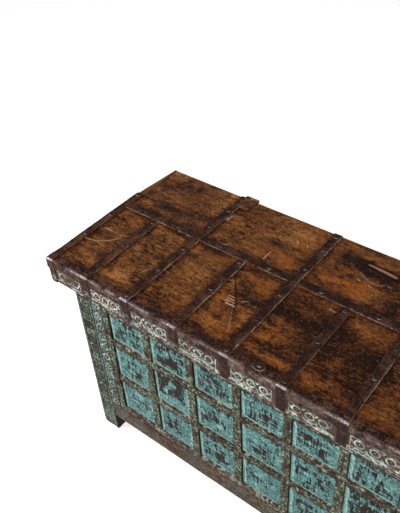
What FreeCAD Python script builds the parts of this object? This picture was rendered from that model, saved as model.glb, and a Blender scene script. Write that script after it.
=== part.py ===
import FreeCAD, Part
import math
import os

from FreeCAD import Vector

# Dowry chest: a framed and panelled body on four post feet, closed by an iron-strapped lid that
# hangs on two strap hinges. Millimetres, +X along the length, -Y to the front, +Z up. The origin
# is on the floor, at the centre of the chest's overall length and depth.

os.makedirs("parts", exist_ok=True)

# ------------------------------------------------------------------ whole chest
lid_length = 1390.0        # outer faces of the two end fascias
lid_depth = 610.0          # front fascia's outer face to the lid's rear edge
chest_height = 860.0       # floor to the top face of the lid boards
lid_overhang = 42.0        # how far the fascia's outer face stands out past the body

# ------------------------------------------------------------------ lid woodwork
plank_thickness = 24.0
front_seam = 216.0         # seam between the front and middle boards, from the lid's front
rear_plank_width = 185.0
plank_seam = 0.8           # open seam between neighbouring lid boards
fascia_thickness = 24.0
fascia_height = 92.0
fascia_taper = 16.0        # worn off the outer face of an end fascia at its rear end
batten_width = 45.0
batten_thickness = 20.0
batten_spacing = 350.0
batten_clearance = 12.0    # from a batten's end to the chest's inside faces

# ------------------------------------------------------------------ lid ironwork
strap_width = 30.0
strap_thickness = 3.0
strap_pitch = 178.0
strap_hand_shift = (1.0, -9.0, -4.0, -4.0, 0.0, -2.0, 3.0)   # set out by eye, left to right
arris_radius = 4.0         # outer radius where iron folds over the lid's edge
long_strap_front = 337.0   # long strap's front edge, from the lid's front
long_strap_width = 30.0
binding_thickness = 2.0
binding_top_leg = 27.0
binding_face_leg = 34.0
end_strap_width = 25.0
joggle_run = 5.0           # length of the slope where one iron climbs over another
iron_clearance = 0.3       # between crossing irons

# ------------------------------------------------------------------ nails
nail_head_radius = 7.0
nail_head_height = 3.5
nail_shank_radius = 1.8
nail_shank_length = 14.0
nail_clearance = 0.1       # radial, shank in its hole
boss_radius = 18.5
boss_height = 6.0
boss_inset = 22.0          # boss's middle from the lid's front edge
seam_nail_offset = 60.0    # strap nails in front of and behind the front seam
rear_seam_nail_inset = 13.0
rear_board_nail_inset = 95.0    # from the lid's rear edge
rear_edge_nail_inset = 18.0
short_nail_inset = 36.0    # short straps: from the front seam
short_end_nail_inset = 15.0     # and from the strap's rear end
edge_nail_row = 16.0       # where each cross strap is nailed near the front arris
boss_shift = 0.57          # boss's place right of the middle strap, as a share of the pitch
binding_nail_drop = 18.0   # binding nails below the lid's top
hinge_plate_nail_inset = 11.0

# ------------------------------------------------------------------ hinges
knuckle_radius = 7.5
hinge_pin_radius = 3.5
hinge_pin_clearance = 0.1
hinge_pin_head = 2.0       # how far the pin stands out of the barrel at each end
knuckle_length = 16.0      # one of the three knuckles of a barrel
knuckle_side_gap = 0.4
hinge_plate_depth = 55.0   # wide end of a hinge strap, on the lid's rear edge
hinge_gap = 0.5            # from the lid's rear edge to the body's back face
leaf_drop = 150.0          # hinge leaf's length down the body's back, from the hinge axis
leaf_nail_count = 3
leaf_nail_inset = 15.0     # lowest nail, from the leaf's lower end
leaf_nail_spacing = 45.0

# ------------------------------------------------------------------ body frame
rim_gap = 0.3              # lid boards above the body's rim when shut
post_width = 69.0
post_depth = 60.0
foot_height = 90.0         # floor to the bottom rails
rail_foot_height = 79.0    # height of the bottom rails
frame_thickness = 22.0     # stiles, strips and rails of the front
groove = 2.5               # shadow line between neighbouring upright members
carved_stile_width = 42.0
edge_strip_width = 25.0
muntin_width = 29.0
panel_columns = 6
cross_strip_height = 30.0
first_strip_drop = 145.0   # top of the upper strip below the lid's top
panel_rows = 3
top_row_height = 124.0     # the rows under it share the rest of the height
arris_ease = 1.5           # chamfer on the front edges of strips and rails

# ------------------------------------------------------------------ panels and boards
panel_fit = 0.5            # gap round a panel in its opening
panel_recess = 8.0         # panel's edge behind the frame's face
panel_bevel = 15.0         # width of the bevelled border
panel_field_rise = 5.0     # raised field in front of the panel's edge
wall_thickness = 14.0      # boards behind the front frame
wall_board_count = 3
end_rail_thickness = 28.0
end_rail_height = 96.0     # upper rail of each end
end_board_thickness = 16.0
end_board_recess = 9.0
end_stile_width = 60.0
back_board_thickness = 20.0
floor_thickness = 18.0
floor_board_count = 5
floor_fit = 2.0            # floor boards to the walls round them
bearer_size = 28.0

# ------------------------------------------------------------------ places that follow
front_reach = binding_thickness + max(strap_thickness, nail_head_height)
rear_reach = hinge_gap + 2.0 * knuckle_radius
x_end = lid_length / 2.0
y_front = (front_reach - lid_depth - rear_reach) / 2.0
y_rear = y_front + lid_depth
z_top = chest_height

x_body = x_end - lid_overhang
y_body_front = y_front + lid_overhang
y_body_back = y_rear + hinge_gap
z_rim = z_top - plank_thickness - rim_gap
z_rail_top = foot_height + rail_foot_height

y_front_wall = y_body_front + frame_thickness
y_front_inside = y_front_wall + wall_thickness
y_back_inside = y_body_back - back_board_thickness
x_inside_post = x_body - post_width

y_axis = y_body_back + knuckle_radius
z_axis = z_top + strap_thickness - knuckle_radius
y_rear_seam = y_rear - rear_plank_width

strap_count = len(strap_hand_shift)
strap_x = [
    (i - (strap_count - 1) / 2.0) * strap_pitch + shift for i, shift in enumerate(strap_hand_shift)
]
hinge_straps = (1, strap_count - 2)
full_straps = (1, strap_count // 2, strap_count - 2)


def block(x0, x1, y0, y1, z0, z1):
    """Box between two opposite corners."""
    return Part.makeBox(x1 - x0, y1 - y0, z1 - z0, Vector(x0, y0, z0))


def prism_along_x(points, x0, x1):
    """Solid with a closed (y, z) outline, from x0 to x1. An item (via, end) is an arc."""
    edges = []
    last = points[0]
    for item in points[1:] + [points[0]]:
        if isinstance(item[0], tuple):
            via, end = item
            edges.append(Part.Arc(at_x(x0, last), at_x(x0, via), at_x(x0, end)).toShape())
        else:
            end = item
            edges.append(Part.LineSegment(at_x(x0, last), at_x(x0, end)).toShape())
        last = end
    return Part.Face(Part.Wire(edges)).extrude(Vector(x1 - x0, 0, 0))


def at_x(x, point):
    return Vector(x, point[0], point[1])


def eased_bar(x0, x1, y0, y1, z0, z1, upright):
    """Bar whose two long front edges are chamfered: upright bars run along Z, others along X."""
    e = arris_ease
    if upright:
        outline = [(x0, y1), (x0, y0 + e), (x0 + e, y0), (x1 - e, y0), (x1, y0 + e), (x1, y1)]
        corners = [Vector(x, y, z0) for x, y in outline]
        along = Vector(0, 0, z1 - z0)
    else:
        outline = [(y1, z0), (y0 + e, z0), (y0, z0 + e), (y0, z1 - e), (y0 + e, z1), (y1, z1)]
        corners = [Vector(x0, y, z) for y, z in outline]
        along = Vector(x1 - x0, 0, 0)
    return Part.Face(Part.makePolygon(corners + corners[:1])).extrude(along)


def nail(seat, inward, radius=nail_head_radius, height=nail_head_height):
    """Domed head standing on its seat, with a shank that goes inward from there."""
    sphere_radius = (radius * radius + height * height) / (2.0 * height)
    start = math.degrees(math.asin((sphere_radius - height) / sphere_radius))
    centre = seat + inward * (sphere_radius - height)
    head = Part.makeSphere(sphere_radius, centre, inward * -1.0, start, 90.0, 360.0)
    shank = Part.makeCylinder(nail_shank_radius, nail_shank_length, seat, inward)
    return head.fuse(shank).removeSplitter()


def nail_hole(seat, inward):
    reach = nail_shank_length + nail_clearance
    return Part.makeCylinder(nail_shank_radius + nail_clearance, reach, seat, inward)


def drilled(shape, holes):
    """Shape with every hole that reaches it cut out."""
    near = [hole for hole in holes if hole.BoundBox.intersect(shape.BoundBox)]
    return shape.cut(near) if near else shape


def mirrored(shape):
    return shape.mirror(Vector(0, 0, 0), Vector(1, 0, 0))


def save(name, solids):
    """Write one node: a single solid, or a group of separate ones."""
    parts = []
    for shape in solids:
        parts += shape.Solids
    for solid in parts:
        if not solid.isValid():
            raise ValueError(name + " holds an invalid solid")
    whole = parts[0] if len(parts) == 1 else Part.makeCompound(parts)
    whole.exportStep(os.path.join("parts", name + ".step"))
    print(name, len(parts), "solids", round(whole.Volume / 1000.0, 1), "cm3")


# ------------------------------------------------------------------ lid woodwork
def lid_planks():
    """Three boards side by side, let in between the end fascias and behind the front one."""
    x = x_end - fascia_thickness
    z0 = z_top - plank_thickness
    half_seam = plank_seam / 2.0
    y0 = y_front + fascia_thickness
    y1 = y_front + front_seam
    return {
        "lid_plank_front": block(-x, x, y0, y1 - half_seam, z0, z_top),
        "lid_plank_middle": block(-x, x, y1 + half_seam, y_rear_seam - half_seam, z0, z_top),
        "lid_plank_rear": block(-x, x, y_rear_seam + half_seam, y_rear, z0, z_top),
    }


def fascia_front():
    z0 = z_top - fascia_height
    return block(-x_end, x_end, y_front, y_front + fascia_thickness, z0, z_top)


def fascia_end(side):
    """Board under an end of the lid; its outer face runs in towards the rear."""
    inner = x_end - fascia_thickness
    z0 = z_top - fascia_height
    outline = [
        (inner, y_front + fascia_thickness),
        (x_end, y_front + fascia_thickness),
        (x_end, y_rear_seam),
        (x_end - fascia_taper, y_rear),
        (inner, y_rear),
    ]
    corners = [Vector(side * x, y, z0) for x, y in outline]
    face = Part.Face(Part.makePolygon(corners + corners[:1]))
    return face.extrude(Vector(0, 0, fascia_height))


def lid_batten(x):
    """Cross bar nailed under the lid boards, clear of the chest's walls."""
    z1 = z_top - plank_thickness
    half = batten_width / 2.0
    y0 = y_front_inside + batten_clearance
    y1 = y_back_inside - batten_clearance
    return block(x - half, x + half, y0, y1, z1 - batten_thickness, z1)


# ------------------------------------------------------------------ lid ironwork
def angle_outline(top_leg, face_leg, thickness):
    """(y, z) outline of an angle iron on the lid's arris, rounded outside."""
    r = arris_radius
    y0 = y_front - thickness
    z1 = z_top + thickness
    k = r * (1.0 - math.sqrt(0.5))
    return [
        (y_front + top_leg, z_top),
        (y_front, z_top),
        (y_front, z_top - face_leg),
        (y0, z_top - face_leg),
        (y0, z1 - r),
        ((y0 + k, z1 - k), (y0 + r, z1)),
        (y_front + top_leg, z1),
    ]


def front_binding():
    outline = angle_outline(binding_top_leg, binding_face_leg, binding_thickness)
    return prism_along_x(outline, -x_end, x_end)


def long_strap():
    y0 = y_front + long_strap_front
    x = x_end - end_strap_width - iron_clearance
    return block(-x, x, y0, y0 + long_strap_width, z_top, z_top + strap_thickness)


def strap_lines(run, climbs_long_strap):
    """The three (y, z) lines round a cross strap: its underside, its front and its upper side.

    It lies on the wood along the lid's top, climbs over the long strap and over the front
    binding, folds over the arris and goes down the fascia.
    """
    t = strap_thickness
    b = binding_thickness
    c = iron_clearance
    r = arris_radius + strap_thickness
    rear = y_front + run
    top = [(rear, 0.0)]
    if climbs_long_strap:
        y0 = y_front + long_strap_front - c
        y1 = y_front + long_strap_front + long_strap_width + c
        top += [(y1 + joggle_run, 0.0), (y1, t), (y0, t), (y0 - joggle_run, 0.0)]
    ledge = y_front + binding_top_leg + c
    top += [(ledge + joggle_run, 0.0), (ledge, b)]
    under = [(y, z_top + h) for y, h in top]
    over = [(y, z_top + h + t) for y, h in top]
    z_foot = z_top - fascia_height
    z_leg = z_top - binding_face_leg - c
    under += [(y_front - b, z_top + b), (y_front - b, z_leg)]
    under += [(y_front, z_leg - joggle_run), (y_front, z_foot)]
    y0 = y_front - b - t
    z1 = z_top + b + t
    k = r * (1.0 - math.sqrt(0.5))
    outer = [(y_front - t, z_foot), (y_front - t, z_leg - joggle_run), (y0, z_leg), (y0, z1 - r)]
    outer += [((y0 + k, z1 - k), (y0 + r, z1))]
    return under, outer, over[::-1]


def strap_outline(run, climbs_long_strap):
    under, outer, over = strap_lines(run, climbs_long_strap)
    return under + outer + over


def short_strap(x):
    half = strap_width / 2.0
    run = long_strap_front - iron_clearance
    return prism_along_x(strap_outline(run, False), x - half, x + half)


def full_strap(x):
    half = strap_width / 2.0
    return prism_along_x(strap_outline(lid_depth, True), x - half, x + half)


def knuckle(x0, x1):
    return Part.makeCylinder(knuckle_radius, x1 - x0, Vector(x0, y_axis, z_axis), Vector(1, 0, 0))


def barrel_spans(x, side):
    """The three knuckles' ends along X; the barrel starts at the strap's centre line."""
    spans = []
    for i in range(3):
        a = x + side * i * knuckle_length
        b = a + side * knuckle_length
        spans.append((min(a, b), max(a, b)))
    return spans


def pin_bore(x, side):
    spans = barrel_spans(x, side)
    x0 = min(span[0] for span in spans) - knuckle_length
    length = 5 * knuckle_length
    radius = hinge_pin_radius + hinge_pin_clearance
    return Part.makeCylinder(radius, length, Vector(x0, y_axis, z_axis), Vector(1, 0, 0))


def hinge_strap(x, side):
    """Full strap that widens at the rear and is rolled round the hinge pin by two knuckles."""
    t = strap_thickness
    outer, middle, inner = barrel_spans(x, side)
    x0 = min(outer[0], inner[0])
    x1 = max(outer[1], inner[1])
    shape = full_strap(x)
    plate = block(x0, x1, y_rear - hinge_plate_depth, y_axis, z_top, z_top + t)
    shape = shape.fuse([plate, knuckle(*outer), knuckle(*inner)])
    notch_z0 = z_axis - 2.0 * knuckle_radius
    notch_z1 = z_top + 2.0 * t
    y1 = y_axis + 2.0 * knuckle_radius
    g = knuckle_side_gap
    notch = block(middle[0] - g, middle[1] + g, y_rear, y1, notch_z0, notch_z1)
    return shape.cut([notch, pin_bore(x, side)]).removeSplitter()


def hinge_leaf(x, side):
    """Plate on the body's back whose middle knuckle is rolled round the pin."""
    t = strap_thickness
    outer, middle, inner = barrel_spans(x, side)
    x0 = min(outer[0], inner[0])
    x1 = max(outer[1], inner[1])
    z_plate = z_axis - knuckle_radius - knuckle_side_gap
    plate = block(x0, x1, y_body_back, y_body_back + t, z_axis - leaf_drop, z_plate)
    neck = block(middle[0], middle[1], y_body_back, y_body_back + t, z_plate, z_axis)
    shape = plate.fuse([neck, knuckle(*middle)])
    return shape.cut(pin_bore(x, side)).removeSplitter()


def hinge_pin(x, side):
    spans = barrel_spans(x, side)
    x0 = min(span[0] for span in spans) - hinge_pin_head
    x1 = max(span[1] for span in spans) + hinge_pin_head
    return Part.makeCylinder(hinge_pin_radius, x1 - x0, Vector(x0, y_axis, z_axis), Vector(1, 0, 0))


def end_strap(side):
    """Strap along an end of the lid: over the front arris and down the fascia, with a side leg."""
    run = lid_depth - rear_plank_width
    under, outer, over = strap_lines(run, False)
    top = prism_along_x(under + outer + over, x_end - end_strap_width, x_end)
    leg_outline = [(under[0][0], outer[2][1])] + outer[2:] + over
    leg = prism_along_x(leg_outline, x_end, x_end + strap_thickness)
    shape = top.fuse(leg).removeSplitter()
    return shape if side > 0 else mirrored(shape)


# ------------------------------------------------------------------ nails of the lid
DOWN = Vector(0, 0, -1)
BACKWARD = Vector(0, 1, 0)
FORWARD = Vector(0, -1, 0)


def nail_rows(run):
    """Distances from the lid's front of the nails in a strap that ends at run."""
    rear_seam = lid_depth - rear_plank_width
    rows = [front_seam - seam_nail_offset, front_seam + seam_nail_offset]
    if run > rear_seam:
        rows += [rear_seam - rear_seam_nail_inset]
        rows += [run - rear_board_nail_inset, run - rear_edge_nail_inset]
    elif run < rear_seam:
        rows = [front_seam - short_nail_inset, run - short_end_nail_inset]
    else:
        rows += [run - rear_seam_nail_inset]
    return rows


def lid_nail_seats():
    """Seat and direction of every nail in the lid's ironwork."""
    seats = []
    z_strap = z_top + strap_thickness
    z_edge = z_strap + binding_thickness
    for i, x in enumerate(strap_x):
        rows = nail_rows(lid_depth if i in full_straps else long_strap_front)
        seats += [(Vector(x, y_front + y, z_strap), DOWN) for y in rows]
        seats.append((Vector(x, y_front + edge_nail_row, z_edge), DOWN))
    y_long = y_front + long_strap_front + long_strap_width / 2.0
    bays = [(a + b) / 2.0 for a, b in zip(strap_x[:-1], strap_x[1:])]
    outer_bay = x_end - (x_end - strap_x[-1]) / 2.0
    for x in [-outer_bay] + bays + [outer_bay]:
        seats.append((Vector(x, y_long, z_strap), DOWN))
        z = z_top - binding_nail_drop
        seats.append((Vector(x, y_front - binding_thickness, z), BACKWARD))
    for side in (-1.0, 1.0):
        x = side * (x_end - end_strap_width / 2.0)
        for y in nail_rows(lid_depth - rear_plank_width):
            seats.append((Vector(x, y_front + y, z_strap), DOWN))
    for i in hinge_straps:
        side = 1.0 if strap_x[i] < 0 else -1.0
        x = strap_x[i] + side * (3 * knuckle_length - hinge_plate_nail_inset)
        for inset in (hinge_plate_nail_inset, hinge_plate_depth - hinge_plate_nail_inset):
            seats.append((Vector(x, y_rear - inset, z_strap), DOWN))
    return seats


def boss_seat():
    """The one large boss stands on the binding, over its rear edge, right of the middle strap."""
    x = strap_x[strap_count // 2] + strap_pitch * boss_shift
    y = y_front + boss_inset
    return Vector(x, y, z_top + binding_thickness), DOWN


def leaf_nail_seats():
    seats = []
    y = y_body_back + strap_thickness
    for i in hinge_straps:
        side = 1.0 if strap_x[i] < 0 else -1.0
        x = strap_x[i] + side * 1.5 * knuckle_length
        for k in range(leaf_nail_count):
            z = z_axis - leaf_drop + leaf_nail_inset + k * leaf_nail_spacing
            seats.append((Vector(x, y, z), FORWARD))
    return seats


# ------------------------------------------------------------------ body
def post(side, back):
    """Corner post that runs down to the floor as a foot."""
    x0 = x_inside_post if side > 0 else -x_body
    y0 = y_body_back - post_depth if back else y_body_front
    return block(x0, x0 + post_width, y0, y0 + post_depth, 0.0, z_rim)


def front_levels():
    """Bottom and top of each row of panels, from the top row down."""
    z = z_top - first_strip_drop
    strips = (panel_rows + 1) * cross_strip_height
    lower_row_height = (z - strips - top_row_height - z_rail_top) / (panel_rows - 1)
    rows = []
    for row in range(panel_rows):
        z_row = z - cross_strip_height
        z = z_row - (lower_row_height if row else top_row_height)
        rows.append((z, z_row))
    return rows


def front_bar(x0, x1, z0, z1, upright=False):
    return eased_bar(x0, x1, y_body_front, y_front_wall, z0, z1, upright)


def front_layout():
    """X of the panel field's ends, the opening's width, and the muntins' left edges."""
    x_field = x_inside_post - carved_stile_width - edge_strip_width - 3.0 * groove
    free = 2.0 * x_field - (panel_columns - 1) * muntin_width
    opening = free / panel_columns
    pitch = opening + muntin_width
    muntins = [-x_field + opening + i * pitch for i in range(panel_columns - 1)]
    columns = [-x_field + i * pitch for i in range(panel_columns)]
    return x_field, opening, muntins, columns


def front_uprights():
    """Carved stiles and edge strips of the two sides, then the muntins between the panels."""
    rows = front_levels()
    z0 = rows[-1][0] - cross_strip_height
    z1 = rows[0][1] + cross_strip_height
    pieces = {}
    for name, side in (("left", -1.0), ("right", 1.0)):
        a = x_inside_post - groove
        b = a - carved_stile_width
        c = b - groove
        d = c - edge_strip_width
        ends = sorted((side * a, side * b))
        pieces["carved_stile_" + name] = front_bar(ends[0], ends[1], z0, z1, True)
        ends = sorted((side * c, side * d))
        pieces["edge_strip_" + name] = front_bar(ends[0], ends[1], z0, z1, True)
    muntins = front_layout()[2]
    for i, x in enumerate(muntins):
        bar = front_bar(x, x + muntin_width, rows[-1][0], rows[0][1], True)
        pieces["muntin_" + str(i + 1)] = bar
    return pieces


def front_rails():
    rows = front_levels()
    x = x_inside_post
    x_strip = front_layout()[0] + groove
    h = cross_strip_height
    z_upper = rows[0][1]
    z_lower = rows[-1][0]
    return {
        "front_top_rail": front_bar(-x, x, z_upper + h, z_rim),
        "front_top_strip": front_bar(-x_strip, x_strip, z_upper, z_upper + h),
        "front_bottom_strip": front_bar(-x_strip, x_strip, z_lower - h, z_lower),
        "front_bottom_rail": front_bar(-x, x, foot_height, z_lower - h),
    }


def cross_strips(row):
    """Short horizontal strips under one row of panels, cut between the uprights."""
    z1 = front_levels()[row][0]
    opening = front_layout()[1]
    columns = front_layout()[3]
    return [front_bar(x, x + opening, z1 - cross_strip_height, z1) for x in columns]


def rectangle(x0, x1, y, z0, z1):
    corners = [Vector(x0, y, z0), Vector(x1, y, z0), Vector(x1, y, z1), Vector(x0, y, z1)]
    return Part.makePolygon(corners + corners[:1])


def panel(x0, x1, z0, z1):
    """Raised and fielded panel, facing the front."""
    f = panel_fit
    b = panel_bevel
    y_edge = y_body_front + panel_recess
    y_field = y_edge - panel_field_rise
    slab = block(x0 + f, x1 - f, y_edge, y_front_wall, z0 + f, z1 - f)
    foot = rectangle(x0 + f, x1 - f, y_edge, z0 + f, z1 - f)
    crest = rectangle(x0 + f + b, x1 - f - b, y_field, z0 + f + b, z1 - f - b)
    return slab.fuse(Part.makeLoft([foot, crest], True, True)).removeSplitter()


def panel_row(row):
    z0, z1 = front_levels()[row]
    opening = front_layout()[1]
    columns = front_layout()[3]
    return [panel(x, x + opening, z0, z1) for x in columns]


def stacked_boards(x0, x1, y0, y1, z0, z1, count):
    """Equal horizontal boards, one on another."""
    h = (z1 - z0) / count
    return [block(x0, x1, y0, y1, z0 + i * h, z0 + (i + 1) * h) for i in range(count)]


def front_wall_boards():
    x = x_inside_post
    return stacked_boards(-x, x, y_front_wall, y_front_inside, foot_height, z_rim, wall_board_count)


def back_boards():
    x = x_inside_post
    return stacked_boards(-x, x, y_back_inside, y_body_back, foot_height, z_rim, wall_board_count)


def end_frame(side):
    """Rails, middle stile and boards of one end, between its two posts."""
    y0 = y_body_front + post_depth
    y1 = y_body_back - post_depth
    y_mid = (y0 + y1) / 2.0
    half = end_stile_width / 2.0
    x_out = x_body
    x_in = x_body - end_rail_thickness
    b_out = x_body - end_board_recess
    b_in = b_out - end_board_thickness
    z1 = z_rim - end_rail_height
    upper = block(x_in, x_out, y0, y1, z1, z_rim)
    lower = block(x_in, x_out, y0, y1, foot_height, z_rail_top)
    stile = block(x_in, x_out, y_mid - half, y_mid + half, z_rail_top, z1)
    boards = [
        block(b_in, b_out, y0, y_mid - half, z_rail_top, z1),
        block(b_in, b_out, y_mid + half, y1, z_rail_top, z1),
    ]
    groups = [[upper], [lower], [stile], boards]
    if side < 0:
        groups = [[mirrored(shape) for shape in group] for group in groups]
    return groups


def floor_boards():
    """Boards laid side by side across the bearers."""
    x1 = x_body - end_rail_thickness - floor_fit
    y0 = y_front_inside + floor_fit
    y1 = y_back_inside - floor_fit
    z0 = z_rail_top - floor_thickness
    corners_clear = x_inside_post - floor_fit
    step = 2.0 * corners_clear / floor_board_count
    half = plank_seam / 2.0
    boards = []
    for i in range(floor_board_count):
        a = -corners_clear + i * step + half
        boards.append(block(a, a + step - plank_seam, y0, y1, z0, z_rail_top))
    y_clear = (y_body_front + post_depth + floor_fit, y_body_back - post_depth - floor_fit)
    for side in (-1.0, 1.0):
        a, b = sorted((side * (corners_clear + half), side * x1))
        boards.append(block(a, b, y_clear[0], y_clear[1], z0, z_rail_top))
    return boards


def floor_bearers():
    """Bars fixed inside the front and back walls and both ends, under the floor boards."""
    x = x_inside_post
    z1 = z_rail_top - floor_thickness
    z0 = z1 - bearer_size
    s = bearer_size
    y_end = (y_body_front + post_depth, y_body_back - post_depth)
    x_in = x_body - end_rail_thickness
    bars = [
        block(-x, x, y_front_inside, y_front_inside + s, z0, z1),
        block(-x, x, y_back_inside - s, y_back_inside, z0, z1),
    ]
    for side in (-1.0, 1.0):
        a, b = sorted((side * (x_in - s), side * x_in))
        bars.append(block(a, b, y_end[0], y_end[1], z0, z1))
    return bars


# ------------------------------------------------------------------ putting it together
def build():
    seats = lid_nail_seats() + [boss_seat()]
    holes = [nail_hole(seat, inward) for seat, inward in seats]
    for name, shape in lid_planks().items():
        save(name, [drilled(shape, holes)])
    save("fascia_front", [drilled(fascia_front(), holes)])
    save("fascia_left", [drilled(fascia_end(-1.0), holes)])
    save("fascia_right", [drilled(fascia_end(1.0), holes)])
    for name, i in (("left", -1), ("centre", 0), ("right", 1)):
        save("lid_batten_" + name, [lid_batten(i * batten_spacing)])

    save("front_binding", [drilled(front_binding(), holes)])
    save("long_strap", [drilled(long_strap(), holes)])
    short_number = 0
    for i, x in enumerate(strap_x):
        if i in hinge_straps:
            name, side = ("left", 1.0) if x < 0 else ("right", -1.0)
            save("hinge_strap_" + name, [drilled(hinge_strap(x, side), holes)])
            leaf_holes = [nail_hole(seat, inward) for seat, inward in leaf_nail_seats()]
            save("hinge_leaf_" + name, [drilled(hinge_leaf(x, side), leaf_holes)])
            save("hinge_pin_" + name, [hinge_pin(x, side)])
        elif i in full_straps:
            save("centre_strap", [drilled(full_strap(x), holes)])
        else:
            short_number += 1
            save("short_strap_" + str(short_number), [drilled(short_strap(x), holes)])
    save("end_strap_left", [drilled(end_strap(-1.0), holes)])
    save("end_strap_right", [drilled(end_strap(1.0), holes)])
    nails = [nail(seat, inward) for seat, inward in lid_nail_seats()]
    seat, inward = boss_seat()
    save("lid_nails", nails + [nail(seat, inward, boss_radius, boss_height)])

    leaf_seats = leaf_nail_seats()
    leaf_holes = [nail_hole(seat, inward) for seat, inward in leaf_seats]
    save("leaf_nails", [nail(seat, inward) for seat, inward in leaf_seats])
    for end, back in (("front", False), ("back", True)):
        save("post_" + end + "_left", [post(-1.0, back)])
        save("post_" + end + "_right", [post(1.0, back)])
    for name, shape in front_rails().items():
        save(name, [shape])
    for name, shape in front_uprights().items():
        save(name, [shape])
    save("cross_strips_upper", cross_strips(0))
    save("cross_strips_lower", cross_strips(1))
    for row, name in enumerate(("top", "middle", "bottom")):
        save("panels_" + name, panel_row(row))
    save("front_wall_boards", front_wall_boards())
    save("back_boards", [drilled(board, leaf_holes) for board in back_boards()])
    for name, side in (("left", -1.0), ("right", 1.0)):
        upper, lower, stile, boards = end_frame(side)
        save("end_top_rail_" + name, upper)
        save("end_bottom_rail_" + name, lower)
        save("end_stile_" + name, stile)
        save("end_boards_" + name, boards)
    save("floor_boards", floor_boards())
    save("floor_bearers", floor_bearers())


build()
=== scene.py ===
import math

import bpy
import numpy as np
from mathutils import Matrix, Vector


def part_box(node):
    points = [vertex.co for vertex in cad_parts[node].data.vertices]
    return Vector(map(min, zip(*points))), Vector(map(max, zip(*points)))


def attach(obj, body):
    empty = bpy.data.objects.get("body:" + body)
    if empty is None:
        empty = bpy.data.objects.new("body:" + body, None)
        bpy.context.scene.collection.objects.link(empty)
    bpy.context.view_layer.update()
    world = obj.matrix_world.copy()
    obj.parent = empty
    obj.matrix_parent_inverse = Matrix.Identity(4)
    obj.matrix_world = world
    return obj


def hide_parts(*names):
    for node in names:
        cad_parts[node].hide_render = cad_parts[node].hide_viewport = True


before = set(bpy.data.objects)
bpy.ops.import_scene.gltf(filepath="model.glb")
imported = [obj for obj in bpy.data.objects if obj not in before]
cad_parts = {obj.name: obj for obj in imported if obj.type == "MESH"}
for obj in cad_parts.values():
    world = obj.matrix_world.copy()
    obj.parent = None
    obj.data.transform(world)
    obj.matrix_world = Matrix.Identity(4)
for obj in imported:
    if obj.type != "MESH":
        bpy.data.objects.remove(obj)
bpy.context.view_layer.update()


# ---------------------------------------------------------------- camera
# The chest is seen from above its right front corner, close to the lid, with a slight tilt of
# the camera to the left.
view_from, view_at = (0.749, -1.238, 2.221), (-0.302, -0.031, 0.860)
view_roll = math.radians(-4.16)
scene = bpy.context.scene


def stand(name, data, place, target, roll=0.0):
    """New object at a place in the scene, looking at a target."""
    holder = bpy.data.objects.new(name, data)
    aim = (Vector(target) - Vector(place)).to_track_quat("-Z", "Y").to_matrix().to_4x4()
    holder.matrix_world = Matrix.Translation(Vector(place)) @ aim @ Matrix.Rotation(roll, 4, "Z")
    scene.collection.objects.link(holder)
    return holder


camera = bpy.data.cameras.new("camera")
camera.lens, camera.sensor_width, camera.clip_end = 47.67, 36.0, 60.0
scene.camera = stand("camera", camera, view_from, view_at, view_roll)
scene.view_settings.view_transform = "Standard"


# ---------------------------------------------------------------- studio
# Plain white floor and backdrop with two large soft lamps. The camera and mirror-like
# surfaces see the white; the ceiling they reflect is dimmer, as a studio's is.
class Tree:
    """Shader nodes that are being put together."""

    def __init__(self, tree):
        self.tree = tree
        tree.nodes.clear()

    def put(self, socket, value):
        """Feeds a socket from another one, or sets its value. A colour may leave out its alpha."""
        if isinstance(value, bpy.types.NodeSocket):
            self.tree.links.new(value, socket)
        else:
            socket.default_value = (*value, 1.0)[:4] if socket.type == "RGBA" else value

    def add(self, kind, inputs=(), **settings):
        """Outputs of a new node. inputs maps a socket's name or number to a value or a socket."""
        node = self.tree.nodes.new("ShaderNode" + kind)
        for key, value in settings.items():
            setattr(node, key, value)
        for key, value in dict(inputs).items():
            self.put(node.inputs[key], value)
        return node.outputs

    def math(self, operation, a, b):
        return self.add("Math", {0: a, 1: b}, operation=operation)[0]


def seen_directly(t):
    """1 for camera rays; and 1 for camera, glossy and transmission rays."""
    ray = t.add("LightPath")
    mirror = t.math("MAXIMUM", ray["Is Glossy Ray"], ray["Is Transmission Ray"])
    return ray["Is Camera Ray"], t.math("MAXIMUM", ray["Is Camera Ray"], mirror)


world = bpy.data.worlds.new("studio")
world.use_nodes = True
t = Tree(world.node_tree)
by_camera, direct = seen_directly(t)
up = t.add("SeparateXYZ", {0: t.add("TexCoord")["Generated"]})["Z"]
ceiling = t.add("MapRange", {"Value": up, "From Min": 0.1, "From Max": 0.45,
                             "To Min": 1.0, "To Max": 0.10})[0]
level = t.add("Mix", {"Factor": direct, "A": 0.45, "B": t.math("MAXIMUM", ceiling, by_camera)})[0]
t.add("OutputWorld", {"Surface": t.add("Background", {"Color": (1, 1, 1), "Strength": level})[0]})
scene.world = world

for name, place, target, size, power in (("key_lamp", (0.9, -2.9, 3.3), (-0.1, 0, 0.6), 1.4, 66),
                                         ("left_lamp", (-3.0, -1.9, 1.9), (0, 0, 0.5), 1.8, 62)):
    lamp = bpy.data.lights.new(name, "AREA")
    lamp.size, lamp.energy = size, power
    stand(name, lamp, place, target)

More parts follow.
